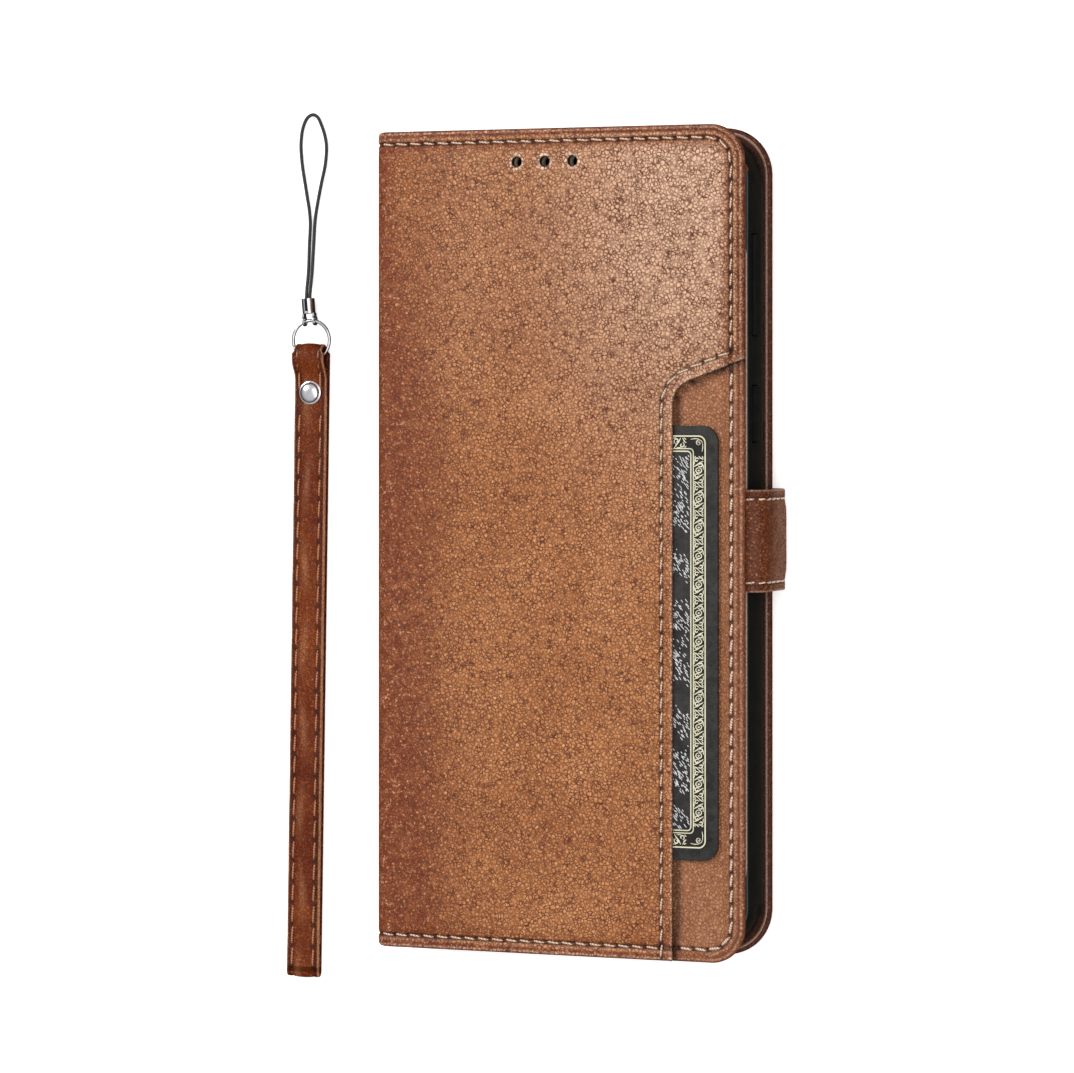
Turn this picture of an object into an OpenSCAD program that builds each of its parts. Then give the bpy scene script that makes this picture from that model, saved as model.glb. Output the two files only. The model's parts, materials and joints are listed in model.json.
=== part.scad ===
// Phone wallet case with a side-entry card pocket, a magnetic clasp and a wrist strap.
// The closed case lies on its back, tilted by the clasp's tip under it, with the strap beside it.
// Case frame: x from the spine's outer face to the free edge, y up the case, z from back to front.

/* [Case] */
// Height of both covers
case_h = 165; // [158:1:172]
// Width of the front cover, from the spine's outer face
case_w = 79.3; // [78:0.1:84]
// How far the back cover reaches beyond the front one
back_over = 0.75; // [0.5:0.05:1]
// Radius of the front cover's corners at the free edge
corner_r = 7.2; // [5:0.1:9]
// Radius of the back cover's corners at the free edge
back_r = 9.5; // [7:0.1:10]
// Radius of the fold at each side of the spine
fold_r = 3; // [3:0.1:3.4]
// Distance of the edge stitching from the edge
stitch_inset = 2.6; // [2.2:0.1:3]

/* [Phone tray] */
// Length of the phone that the tray holds
phone_h = 159.1; // [155:0.1:160]
// Thickness of the phone that the tray holds
phone_t = 8; // [8:0.1:8.2]
// Thickness of the tray's walls
tray_wall = 1.2; // [1:0.1:1.2]
// Width of the camera window
window_w = 26; // [20:1:26]
// Height of the camera window
window_h = 40; // [30:1:40]
// How far the side buttons travel
button_travel = 0.4; // [0.3:0.1:0.5]

/* [Card and pocket] */
// Long side of the card
card_h = 85.6; // [85.6]
// Short side of the card
card_w = 54; // [54]
// Height of the card's middle above the case's middle
card_y = -19.7; // [-22:0.1:-18]
// Where the pocket's mouth runs, from the spine
mouth_x = 64.5; // [60:0.5:66]
// Where the mouth starts to curve towards the free edge
mouth_y = 27.2; // [26.4:0.1:30]

/* [Clasp] */
// Width of the clasp strap
clasp_w = 20.2; // [16:0.1:21]
// Radius of the clasp's bends, outside
clasp_r = 3.2; // [3.1:0.1:3.4]
// How far the clasp's tip reaches in under the back cover, measured as a place on x
clasp_tip_x = 60; // [58:0.5:61]

/* [Wrist strap] */
// Width of the band
band_w = 7.1; // [7:0.1:7.2]
// Length of the folded band
band_len = 131.4; // [100:0.1:140]
// Thickness of one layer of the band
band_t = 1.1; // [1:0.1:1.1]
// How far the band leans from the case's long axis, in degrees
band_lean = 0.87; // [0:0.01:1]

/* [Hidden] */
$fn = 48;
eps = 0.02;

top_y = case_h / 2;
skin_t = 0.6;      // outer leather
rim_w = 0.7;       // leather turned over the covers' edges
thread_t = 0.25;   // depth of the thread in its groove
thread_w = 0.5;
groove_w = 0.6;

// Heights of the layers, from the back to the front
back_board_z = skin_t;
back_lining_z = 1.6;
adhesive_z = 2.0;
tray_z = 2.1;
floor_t = 1;
cavity_z = tray_z + floor_t;
lip_z = cavity_z + phone_t;
lip_t = 0.6;
slots_z = lip_z + lip_t + 0.3;
slot_t = 0.25;
cash_z = slots_z + 3 * slot_t;
front_lining_z = cash_z + 0.35;
front_board_z = front_lining_z + 0.3;
lower_skin_z = front_board_z + 0.9;
card_z = lower_skin_z + skin_t;
overlay_z = card_z + 0.85;
overlay_t = 0.55;
case_t = overlay_z + overlay_t;

// Spine: the covers' folds meet it at these two heights, and the hinges lie there
low_hinge_z = fold_r;
high_hinge_z = case_t - fold_r;
hinge_gap = 0.05;

// Phone tray
tray_x0 = 2.6;
tray_x1 = case_w - 0.8;
tray_r = 9;
tray_half = phone_h / 2 + tray_wall;
lip_w = 0.8;
window_x = 60;
window_y = 57;
window_r = 8;
window_rim = 0.8;
port_w = 34;
button_z = tray_z + 3.4;
button_h = 3;
button_proud = 0.5;
button_gap = 0.2;
volume_y = 51;
volume_l = 20;
power_y = 25.5;
power_l = 11;
lanyard_r = 0.8;

// Speaker holes through the front cover
hole_r = 1.05;
hole_y = top_y - 6.7;
hole_xs = [31.4, 37.4, 43.4];

// Card
card_t = 0.76;
card_x1 = 73.8;
card_r = 3.2;
pocket_gap = 0.8;

// Clasp: a skived tab under the front skin, a bend, a side panel, a bend and a magnetic tip
clasp_y = 0.5;
clasp_cx = case_w + 0.1;
bend_high_z = lower_skin_z - clasp_r;
bend_low_z = clasp_r - 2.25;
clasp_outer = 0.8;
clasp_inner = 0.7;
clasp_tab_x = 69;
clasp_cut = 0.05;
clasp_stitch_inset = 1.9;
magnet = [12, 13, 0.9];
magnet_x = 63;
catch = [14, 15, 0.8];

// Wrist strap: its own frame has the ring's centre at the origin
ring_r = 4.05;
wire_r = 0.35;
ring_z = 2;
ring_at = [-20.4, 40.65];
band_top = -0.8;
band_bottom = band_top - band_len;
fold_gap = 2;
fold_out = band_t + fold_gap / 2;
fold_y = band_top - fold_out;
rivet_y = -10.9;
rivet_r = 2.45;
crimp_lean = 5;
crimp_r = 1.35;
crimp_bore = 0.95;
crimp_top = 4.6;
crimp_floor = 1.9;

// Cord: from the sleeve's floor up one side of the loop and back down the other
cord_r = 0.35;
cord_route = [
    [-21.3, 46.55, 2], [-21.5, 49.2, 1.95], [-21.6, 51.5, 1.45], [-21.6, 54, 0.85],
    [-21.6, 56.5, 0.5], [-21.5, 60.5, 0.42], [-21.3, 64.6, 0.42], [-21.5, 67.5, 0.42],
    [-22, 70.5, 0.42], [-22.6, 74, 0.42], [-23.1, 77.1, 0.42], [-23.4, 80.6, 0.42],
    [-23.25, 83.3, 0.42], [-22.75, 85.4, 0.42], [-21.9, 86.9, 0.42], [-20.7, 87.5, 0.42],
    [-19.6, 86.9, 0.42], [-18.75, 85.2, 0.42], [-18, 83, 0.42], [-17.65, 80.5, 0.42],
    [-17.95, 77, 0.42], [-18.65, 73.9, 0.42], [-19.4, 70.4, 0.42], [-20, 67.1, 0.42],
    [-20.3, 64.6, 0.42], [-20.55, 60.4, 0.42], [-20.75, 56.5, 0.5], [-20.8, 54, 0.85],
    [-20.8, 51.5, 1.45], [-20.75, 49.3, 1.95], [-20.55, 46.6, 2]
];

// The closed case rests on the spine's lower fold and on the end of the clasp's tip
rest_dx = clasp_tip_x - fold_r;
rest_dz = clasp_r - bend_low_z + fold_r;
tilt = atan2(rest_dz, rest_dx) - asin(fold_r / norm([rest_dx, rest_dz]));
drop = fold_r - fold_r * (sin(tilt) + cos(tilt));

// The origin lies under the middle of everything but the cord and its sleeve
right_x = (clasp_cx) * cos(tilt) - bend_low_z * sin(tilt) + clasp_r;
left_x = ring_at[0] - band_w / 2 * cos(band_lean) + band_bottom * sin(band_lean);
low_y = ring_at[1] - band_w / 2 * sin(band_lean) + band_bottom * cos(band_lean);
centre = [(left_x + right_x) / 2, (low_y + top_y) / 2, 0];

module on_table() translate(-centre) children();

// Lays a piece of the case, drawn in the case frame, on the table
module lie() on_table() translate([0, 0, drop]) rotate([0, -tilt, 0]) children();

// Turns a section drawn as (x, z) into a bar from y0 to y1
module along_y(y0, y1) translate([0, y1, 0]) rotate([90, 0, 0]) linear_extrude(y1 - y0) children();

module slab(z, t) translate([0, 0, z]) linear_extrude(t) children();

function arc(c, r, a0, a1, n = 10) =
    [for (i = [0 : n]) let (a = a0 + (a1 - a0) * i / n) [c[0] + r * cos(a), c[1] + r * sin(a)]];

// A rectangle with round corners, from exact squares and circles
module rounded(x0, y0, x1, y1, r) {
    translate([x0 + r, y0]) square([x1 - x0 - 2 * r, y1 - y0]);
    translate([x0, y0 + r]) square([x1 - x0, y1 - y0 - 2 * r]);
    for (x = [x0 + r, x1 - r], y = [y0 + r, y1 - r]) translate([x, y]) circle(r);
}

// A cover's outline, drawn in from its edge, with square corners at the spine
module plan(x0, inset, edge_x, edge_r) {
    y = top_y - inset;
    x1 = edge_x - inset;
    r = edge_r - inset;
    translate([x0, -y]) square([x1 - r - x0, 2 * y]);
    translate([x1 - r - eps, r - y]) square([r + eps, 2 * (y - r)]);
    for (s = [-1, 1]) translate([x1 - r, s * (y - r)]) circle(r);
}

module cover_plan(x0, inset = 0) plan(x0, inset, case_w, corner_r);

module back_plan(x0, inset = 0) plan(x0, inset, case_w + back_over, back_r);

module edge_band(x0, width) difference() {
    cover_plan(x0);
    cover_plan(x0 - 1, width);
}

// The line of the edge stitching, along the top, the free edge and the bottom
module stitch_line(x0, width) intersection() {
    translate([x0, -top_y]) square([case_w, case_h]);
    difference() {
        cover_plan(x0 - 5, stitch_inset - width / 2);
        cover_plan(x0 - 6, stitch_inset + width / 2);
    }
}

module back_stitch_line(x0, width) intersection() {
    translate([x0, -top_y]) square([case_w, case_h]);
    difference() {
        back_plan(x0 - 5, stitch_inset - width / 2);
        back_plan(x0 - 6, stitch_inset + width / 2);
    }
}

// The pocket's mouth, from the bottom edge up, round the curve and out to the free edge
mouth_r = 5.1;
mouth_slope = 20;
mouth_bend = arc([mouth_x + mouth_r, mouth_y], mouth_r, 180, 90 + mouth_slope);
mouth_end = mouth_bend[len(mouth_bend) - 1];
mouth_run = 9;
mouth_last = mouth_end + mouth_run * [cos(mouth_slope), sin(mouth_slope)];
mouth_line = concat(
    [[mouth_x, -top_y - 5]], mouth_bend, [mouth_last, mouth_last + [8, 5]]
);

module strip_region() polygon(concat(mouth_line, [[case_w + 20, -top_y - 5]]));

module panel_region(inset = 0) difference() {
    translate([-5, -top_y - 4]) square([case_w + 10, case_h + 8]);
    offset(delta = inset) strip_region();
}

module pocket_line(width) intersection() {
    cover_plan(0, stitch_inset - width);
    difference() {
        panel_region(2.35 - width / 2);
        panel_region(2.35 + width / 2);
    }
}

module speaker_holes() for (x = hole_xs) translate([x, hole_y]) circle(hole_r);

module camera_window(grow = 0) rounded(
    window_x - window_w / 2 - grow, window_y - window_h / 2 - grow,
    window_x + window_w / 2 + grow, window_y + window_h / 2 + grow, window_r + grow
);

/* Back cover */

module back_outer_skin() color([0.63, 0.42, 0.29]) lie() difference() {
    union() {
        slab(0, skin_t) back_plan(fold_r);
        slab(skin_t - eps, adhesive_z - skin_t + eps) difference() {
            back_plan(fold_r);
            back_plan(fold_r - 1, rim_w);
        }
        along_y(-top_y, top_y) polygon(concat(
            arc([fold_r, fold_r], fold_r, 180, 270),
            arc([fold_r, fold_r], fold_r - skin_t, 270, 180)
        ));
    }
    slab(-1, 2) camera_window(window_rim);
    slab(-1, 1 + thread_t) back_stitch_line(10, groove_w);
}

module back_board() color([0.55, 0.5, 0.42]) lie() difference() {
    slab(back_board_z, back_lining_z - back_board_z) back_plan(fold_r + 0.2, rim_w);
    slab(0, 3) camera_window(window_rim + 0.4);
    translate([magnet_x, clasp_y - catch[1] / 2, 0])
        cube([catch[0], catch[1], back_board_z + catch[2]]);
}

module back_lining() color([0.29, 0.15, 0.1]) lie() difference() {
    slab(back_lining_z, adhesive_z - back_lining_z) back_plan(tray_x0, rim_w);
    slab(1, 3) camera_window(window_rim);
}

module back_stitching() color([0.72, 0.56, 0.38]) lie() slab(0, thread_t) back_stitch_line(10, thread_w);

module clasp_catch_plate() color([0.7, 0.7, 0.72]) lie()
    translate([magnet_x, clasp_y - catch[1] / 2, back_board_z]) cube(catch);

module tray_adhesive() color([0.9, 0.9, 0.86]) lie() difference() {
    slab(adhesive_z, tray_z - adhesive_z) rounded(6, -76, tray_x1 - 3, 76.2, 5);
    slab(1, 3) camera_window(window_rim);
}

module tray_plan(inset) rounded(
    tray_x0 + inset, inset - tray_half, tray_x1 - inset, tray_half - inset, tray_r - inset
);

module button_window(y, l) translate([
    tray_x1 - 3, y - l / 2 - button_gap, button_z - button_gap
]) cube([5, l + 2 * button_gap, button_h + 2 * button_gap]);

module phone_tray() color([0.12, 0.12, 0.12]) lie() difference() {
    union() {
        slab(tray_z, lip_z + lip_t - tray_z) tray_plan(0);
        slab(0, tray_z + eps) camera_window(window_rim - 0.05);
    }
    slab(cavity_z, phone_t) tray_plan(tray_wall);
    slab(lip_z - eps, 2) tray_plan(tray_wall + lip_w);
    slab(-1, cavity_z + 2) camera_window();
    button_window(volume_y, volume_l);
    button_window(power_y, power_l);
    translate([(tray_x0 + tray_x1 - port_w) / 2, -tray_half - 1, cavity_z + 1.4]) cube([port_w, 3, 5]);
    for (x = [62, 66]) translate([x, -tray_half - 1, cavity_z + 3])
        rotate([-90, 0, 0]) cylinder(h = 3, r = lanyard_r);
}

module button_pad(y, l) translate([tray_x1 - tray_wall, y - l / 2, button_z])
    cube([tray_wall + button_proud, l, button_h]);

module volume_button() color([0.14, 0.14, 0.14]) lie() button_pad(volume_y, volume_l);

module power_button() color([0.14, 0.14, 0.14]) lie() button_pad(power_y, power_l);

/* Spine */

module spine_strip(x, t, short) translate([x, short - top_y, low_hinge_z + hinge_gap])
    cube([t, case_h - 2 * short, high_hinge_z - low_hinge_z - 2 * hinge_gap]);

module spine_skin() color([0.55, 0.34, 0.22]) lie() spine_strip(0, skin_t, 0);

module spine_stiffener() color([0.55, 0.5, 0.42]) lie() spine_strip(skin_t, 0.9, 1);

module spine_lining() color([0.29, 0.15, 0.1]) lie() spine_strip(skin_t + 0.9, 0.4, 0.5);

/* Front cover */

module front_pocket_skin() color([0.65, 0.43, 0.3]) lie() difference() {
    union() {
        slab(overlay_z, overlay_t) intersection() {
            cover_plan(fold_r);
            panel_region();
        }
        slab(card_z, overlay_z - card_z + eps) intersection() {
            edge_band(fold_r, rim_w);
            panel_region();
        }
        along_y(-top_y, top_y) polygon(concat(
            arc([fold_r, high_hinge_z], fold_r, 90, 180),
            arc([fold_r, high_hinge_z], fold_r - overlay_t, 180, 90)
        ));
    }
    slab(overlay_z - 1, 3) speaker_holes();
    slab(case_t - thread_t, 1) {
        stitch_line(1, groove_w);
        pocket_line(groove_w);
    }
}

module front_lower_skin() color([0.6, 0.4, 0.29]) lie() difference() {
    union() {
        slab(lower_skin_z, skin_t) cover_plan(fold_r - 0.3);
        slab(front_lining_z, lower_skin_z - front_lining_z + eps) edge_band(fold_r, rim_w);
    }
    slab(front_lining_z - 1, 5) speaker_holes();
    translate([clasp_tab_x, clasp_y - clasp_w / 2 - 0.2, front_lining_z - eps])
        cube([20, clasp_w + 0.4, lower_skin_z - front_lining_z + eps]);
    slab(card_z - thread_t, 1) intersection() {
        stitch_line(40, groove_w);
        strip_region();
    }
}

module front_padding() color([0.8, 0.78, 0.7]) lie() slab(card_z, overlay_z - card_z) difference() {
    intersection() {
        cover_plan(fold_r, rim_w);
        panel_region(1);
    }
    translate([14, card_y - card_h / 2 - 2])
        square([case_w, card_h + 4]);
    speaker_holes();
}

module front_board() color([0.55, 0.5, 0.42]) lie() difference() {
    slab(front_board_z, lower_skin_z - front_board_z) cover_plan(fold_r + 0.2, rim_w);
    slab(front_board_z - 1, 3) speaker_holes();
    translate([clasp_tab_x - 0.2, clasp_y - clasp_w / 2 - 0.2, front_board_z - 1])
        cube([20, clasp_w + 0.4, 4]);
}

module front_lining() color([0.29, 0.15, 0.1]) lie() slab(front_lining_z, 0.3) difference() {
    cover_plan(tray_x0, rim_w);
    speaker_holes();
}

module cash_pocket_panel() color([0.31, 0.17, 0.11]) lie()
    slab(cash_z, front_lining_z - cash_z) rounded(tray_x0, -71.5, case_w - 0.4, 64, 8);

module card_slot(n) slab(slots_z + (n - 1) * slot_t, slot_t) difference() {
    rounded(8, -45, 36 + 10 * n, 45, 2);
    translate([36 + 10 * n + 3, 0]) circle(9);
}

module card_slot_1() color([0.36, 0.2, 0.13]) lie() card_slot(1);

module card_slot_2() color([0.34, 0.19, 0.12]) lie() card_slot(2);

module card_slot_3() color([0.32, 0.18, 0.11]) lie() card_slot(3);

module front_edge_stitching() color([0.72, 0.56, 0.38]) lie() {
    slab(case_t - thread_t, thread_t) intersection() {
        stitch_line(1, thread_w);
        panel_region(0.1);
    }
    slab(card_z - thread_t, thread_t) intersection() {
        stitch_line(40, thread_w);
        offset(delta = -0.1) strip_region();
    }
}

module pocket_stitching() color([0.72, 0.56, 0.38]) lie() slab(case_t - thread_t, thread_t) difference() {
    pocket_line(thread_w);
    stitch_line(1, groove_w + 0.1);
}

module bank_card() color([0.1, 0.1, 0.1]) lie() slab(card_z + 0.04, card_t)
    rounded(card_x1 - card_w, card_y - card_h / 2, card_x1, card_y + card_h / 2, card_r);

/* Clasp */

high_bend = [clasp_cx, bend_high_z];
low_bend = [clasp_cx, bend_low_z];
tip_top = -0.05;

// A section of the clasp's upper bend between two depths below its outer face, with its tab
module root_section(d0, d1, tab0, tab1) polygon(concat(
    [[clasp_tab_x, lower_skin_z - tab0], [clasp_cx - 0.3, lower_skin_z - tab0]],
    [[clasp_cx - 0.3, lower_skin_z - d0]],
    arc(high_bend, clasp_r - d0, 90, 0),
    arc(high_bend, clasp_r - d1, 0, 90),
    [[clasp_cx - 0.3, lower_skin_z - d1], [clasp_cx - 0.3, lower_skin_z - tab1]],
    [[clasp_tab_x, lower_skin_z - tab1]]
));

module side_section(d0, d1) polygon([
    [clasp_cx + clasp_r - d0, bend_high_z - clasp_cut], [clasp_cx + clasp_r - d1, bend_high_z - clasp_cut],
    [clasp_cx + clasp_r - d1, bend_low_z + clasp_cut], [clasp_cx + clasp_r - d0, bend_low_z + clasp_cut]
]);

module tip_section(d0, d1) polygon(concat(
    [[clasp_tip_x, bend_low_z - clasp_r + d0]],
    arc(low_bend, clasp_r - d0, 270, 360),
    arc(low_bend, clasp_r - d1, 360, 270),
    [[clasp_tip_x, bend_low_z - clasp_r + d1]]
));

module clasp_bar() along_y(clasp_y - clasp_w / 2, clasp_y + clasp_w / 2) children();

module clasp_threads(width) for (s = [-1, 1]) {
    y = clasp_y + s * (clasp_w / 2 - clasp_stitch_inset);
    along_y(y - width / 2, y + width / 2) children();
}

module root_thread() polygon(concat(
    arc(high_bend, clasp_r, 90, 0), arc(high_bend, clasp_r - thread_t, 0, 90)
));

module clasp_root_leather() color([0.45, 0.27, 0.17]) lie() difference() {
    clasp_bar() root_section(0, clasp_outer, 0, 0.45);
    clasp_threads(groove_w) root_thread();
}

module clasp_root_lining() color([0.29, 0.15, 0.1]) lie()
    clasp_bar() root_section(clasp_outer, clasp_outer + clasp_inner, 0.45, 0.9);

module clasp_root_stitching() color([0.55, 0.38, 0.24]) lie()
    clasp_threads(thread_w) root_thread();

module clasp_side_leather() color([0.45, 0.27, 0.17]) lie() difference() {
    clasp_bar() side_section(0, clasp_outer);
    clasp_threads(groove_w) side_section(0, thread_t);
}

module clasp_side_lining() color([0.29, 0.15, 0.1]) lie()
    clasp_bar() side_section(clasp_outer, clasp_outer + clasp_inner);

module clasp_side_stitching() color([0.55, 0.38, 0.24]) lie()
    clasp_threads(thread_w) side_section(0, thread_t);

module clasp_tip_leather() color([0.45, 0.27, 0.17]) lie() difference() {
    clasp_bar() tip_section(0, clasp_outer);
    clasp_threads(groove_w) difference() {
        tip_section(0, thread_t);
        translate([0, -50]) square([clasp_tip_x + 3, 100]);
    }
}

module clasp_tip_lining() color([0.29, 0.15, 0.1]) lie() difference() {
    clasp_bar() polygon(concat(
        [[clasp_tip_x, bend_low_z - clasp_r + clasp_outer]],
        arc(low_bend, clasp_r - clasp_outer, 270, 360),
        arc(low_bend, clasp_r - clasp_outer - clasp_inner, 360, 270),
        [[clasp_cx - 1.5, tip_top], [clasp_tip_x, tip_top]]
    ));
    translate([magnet_x, clasp_y - magnet[1] / 2, bend_low_z - clasp_r]) cube([
        magnet[0], magnet[1], clasp_outer + magnet[2]
    ]);
}

module clasp_tip_stitching() color([0.55, 0.38, 0.24]) lie() clasp_threads(thread_w) difference() {
    tip_section(0, thread_t);
    translate([0, -50]) square([clasp_tip_x + 3, 100]);
}

module clasp_magnet() color([0.72, 0.72, 0.74]) lie()
    translate([magnet_x, clasp_y - magnet[1] / 2, bend_low_z - clasp_r + clasp_outer]) cube(magnet);

/* Wrist strap */

module strap_frame() on_table() translate(ring_at) rotate([0, 0, -band_lean]) children();

// Turns a section drawn as (y, z) into a bar across the band
module across_band(w) rotate([90, 0, 90]) translate([0, 0, -w / 2]) linear_extrude(w) children();

flat_t = 2 * band_t;
ramp_top_y = band_top - 3.4;
ramp_low_y = ramp_top_y - 4;

module band_outline() polygon(concat(
    arc([band_bottom + band_t, band_t], band_t, 90, 270),
    arc([fold_y, fold_out], fold_out, -90, 90),
    [[ramp_top_y, 2 * fold_out], [ramp_low_y, flat_t]]
));

module band_pocket() polygon(concat(
    arc([fold_y, fold_out], fold_gap / 2, -90, 90),
    [[ramp_top_y - 0.3, band_t + fold_gap], [ramp_low_y + 0.6, band_t]]
));

// The band's plan, nipped in where the fold goes through the ring
module band_plan() polygon([
    [-band_w / 2, band_bottom], [band_w / 2, band_bottom], [band_w / 2, band_top - 1.9],
    [band_w / 2 - 0.5, band_top - 1.2], [band_w / 2 - 0.5, band_top - 0.6],
    [band_w / 2 - 0.3, band_top], [0.3 - band_w / 2, band_top],
    [0.5 - band_w / 2, band_top - 0.6], [0.5 - band_w / 2, band_top - 1.2],
    [-band_w / 2, band_top - 1.9]
]);

module wrist_strap_band() color([0.45, 0.22, 0.08]) strap_frame() difference() {
    intersection() {
        across_band(band_w) band_outline();
        slab(-1, 8) band_plan();
    }
    across_band(band_w + 1) band_pocket();
    across_band(band_w + 1) translate([band_bottom + band_t, band_t - 0.05])
        square([rivet_y - rivet_r - 1 - band_bottom - band_t, 0.1]);
    translate([0, rivet_y, -1]) cylinder(h = 5, r = 1);
    translate([0, rivet_y, -1]) cylinder(h = 1.4, r = 2.2);
}

module wrist_strap_stitching() color([0.3, 0.14, 0.06]) strap_frame() for (s = [-1, 1])
    translate([s * 2.35 - 0.2, band_bottom + 2, flat_t])
        cube([0.4, rivet_y - band_bottom - 2 - rivet_r - 0.5, 0.15]);

module rivet_cap() color([0.82, 0.82, 0.84]) strap_frame() translate([0, rivet_y, flat_t])
    rotate_extrude() polygon(concat(
        [[0, 0], [rivet_r, 0]],
        arc([rivet_r - 0.3, 0.3], 0.3, 0, 60, 3),
        [[1.6, 0.85], [0.8, 1.05], [0, 1.1]]
    ));

module rivet_post() color([0.75, 0.75, 0.77]) strap_frame() translate([0, rivet_y, 0]) {
    cylinder(h = flat_t, r = 1);
    cylinder(h = 0.4, r = 2.2);
}

module strap_ring() color([0.8, 0.8, 0.82]) strap_frame() translate([0, 0, ring_z])
    rotate_extrude() translate([ring_r, 0]) circle(wire_r, $fn = 24);

// The crimp sleeve's own frame lies on the ring's wire, with y up the sleeve
module crimp_frame() on_table() translate([
    ring_at[0] - ring_r * sin(crimp_lean), ring_at[1] + ring_r * cos(crimp_lean), ring_z
]) rotate([0, 0, crimp_lean]) children();

module cord_crimp() color([0.78, 0.78, 0.8]) crimp_frame() {
    difference() {
        translate([0, 1.5, 0]) rotate([-90, 0, 0]) cylinder(h = crimp_top - 1.5, r = crimp_r);
        translate([0, crimp_floor, 0]) rotate([-90, 0, 0]) cylinder(h = 5, r = crimp_bore);
        translate([-0.3, crimp_floor, 0]) cube([0.6, 5, 3]);
    }
    for (s = [-1, 1]) difference() {
        translate([s * 1.15 - 0.2, 0, 0]) rotate([0, 90, 0]) union() {
            cylinder(h = 0.4, r = 1.1);
            translate([-0.7, 0, 0]) cube([1.4, 1.52, 0.4]);
        }
        translate([s * 1.15 - 1, 0, 0]) rotate([0, 90, 0]) cylinder(h = 2, r = 0.66);
    }
}

function spline(a, b, c, d, t) = b + t / 2 * (
    c - a + t * (2 * a - 5 * b + 4 * c - d + t * (3 * (b - c) + d - a))
);

last_point = len(cord_route) - 1;
cord_line = concat(
    [for (i = [0 : last_point - 1], t = [0, 0.5]) spline(
        cord_route[max(i - 1, 0)], cord_route[i],
        cord_route[i + 1], cord_route[min(i + 2, last_point)], t
    )],
    [cord_route[last_point]]
);

module tube(line, r, sides) {
    n = len(line);
    rings = [for (i = [0 : n - 1]) let (
        ahead = line[min(i + 1, n - 1)] - line[max(i - 1, 0)],
        side = cross(ahead, [0, 0, 1]) / norm(cross(ahead, [0, 0, 1])),
        up = cross(side, ahead) / norm(cross(side, ahead))
    ) for (k = [0 : sides - 1]) line[i] + r * (cos(k * 360 / sides) * side + sin(k * 360 / sides) * up)];
    walls = [for (i = [0 : n - 2], k = [0 : sides - 1]) let (j = (k + 1) % sides)
        [i * sides + k, i * sides + j, (i + 1) * sides + j, (i + 1) * sides + k]];
    ends = [[for (k = [sides - 1 : -1 : 0]) k], [for (k = [0 : sides - 1]) (n - 1) * sides + k]];
    polyhedron(rings, concat(walls, ends));
}

module cord_loop() color([0.08, 0.08, 0.08]) on_table() tube(cord_line, cord_r, 8);

back_outer_skin();
back_board();
back_lining();
back_stitching();
clasp_catch_plate();
tray_adhesive();
phone_tray();
volume_button();
power_button();
spine_skin();
spine_stiffener();
spine_lining();
front_pocket_skin();
front_lower_skin();
front_padding();
front_board();
front_lining();
cash_pocket_panel();
card_slot_1();
card_slot_2();
card_slot_3();
front_edge_stitching();
pocket_stitching();
clasp_root_leather();
clasp_root_lining();
clasp_root_stitching();
clasp_side_leather();
clasp_side_lining();
clasp_side_stitching();
clasp_tip_leather();
clasp_tip_lining();
clasp_tip_stitching();
clasp_magnet();
bank_card();
wrist_strap_band();
wrist_strap_stitching();
rivet_cap();
rivet_post();
strap_ring();
cord_crimp();
cord_loop();
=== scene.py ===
"""Looks of a phone wallet case with a wrist strap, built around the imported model."""

import json
import math

import bpy
import numpy as np
from mathutils import Matrix, Vector
from mathutils.geometry import delaunay_2d_cdt


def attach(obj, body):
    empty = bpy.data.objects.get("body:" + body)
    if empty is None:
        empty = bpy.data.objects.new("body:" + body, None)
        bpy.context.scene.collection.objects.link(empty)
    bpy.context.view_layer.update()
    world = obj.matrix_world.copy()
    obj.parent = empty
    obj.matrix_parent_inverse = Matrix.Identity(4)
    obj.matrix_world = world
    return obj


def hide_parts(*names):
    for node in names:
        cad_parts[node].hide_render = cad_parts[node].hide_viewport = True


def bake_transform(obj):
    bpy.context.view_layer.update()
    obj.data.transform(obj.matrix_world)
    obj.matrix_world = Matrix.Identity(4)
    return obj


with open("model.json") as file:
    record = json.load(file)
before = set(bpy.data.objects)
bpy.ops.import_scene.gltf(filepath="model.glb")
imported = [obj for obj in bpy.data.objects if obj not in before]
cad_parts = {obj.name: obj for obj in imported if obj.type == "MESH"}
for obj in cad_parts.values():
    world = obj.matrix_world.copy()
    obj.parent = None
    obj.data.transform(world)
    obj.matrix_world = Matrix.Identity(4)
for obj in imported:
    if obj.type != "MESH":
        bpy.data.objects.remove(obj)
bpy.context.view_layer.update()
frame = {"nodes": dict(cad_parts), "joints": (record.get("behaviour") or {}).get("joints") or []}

nodes = frame["nodes"]
rng = np.random.default_rng(11)

# ---------------------------------------------------------------- frames
# CASE: mm from the spine's outer face (x), up the case (y), back to front (z).
# TABLE: mm on the table, from the case's own corner. STRAP: mm from the ring's centre, y up the strap.
joints = {j["name"]: j for j in frame["joints"]}
low_hinge = Vector(joints["spine_hinge"]["pos_m"])
case_z = (Vector(joints["front_hinge"]["pos_m"]) - low_hinge).normalized()
case_x = Vector((0, 1, 0)).cross(case_z)
origin = low_hinge - 0.003 * case_z
MM = Matrix.Scale(0.001, 4)
CASE = Matrix((
    (case_x.x, 0, case_z.x, origin.x),
    (case_x.y, 1, case_z.y, origin.y),
    (case_x.z, 0, case_z.z, origin.z),
    (0, 0, 0, 1),
)) @ MM
TABLE = Matrix.Translation((origin.x, origin.y, 0)) @ MM
STRAP = TABLE @ Matrix.Translation((-20.4, 40.65, 0)) @ Matrix.Rotation(math.radians(-0.87), 4, "Z")

H, W, T = 165.0, 79.3, 16.3
BACK_W = 80.05
TOP = H / 2

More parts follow.
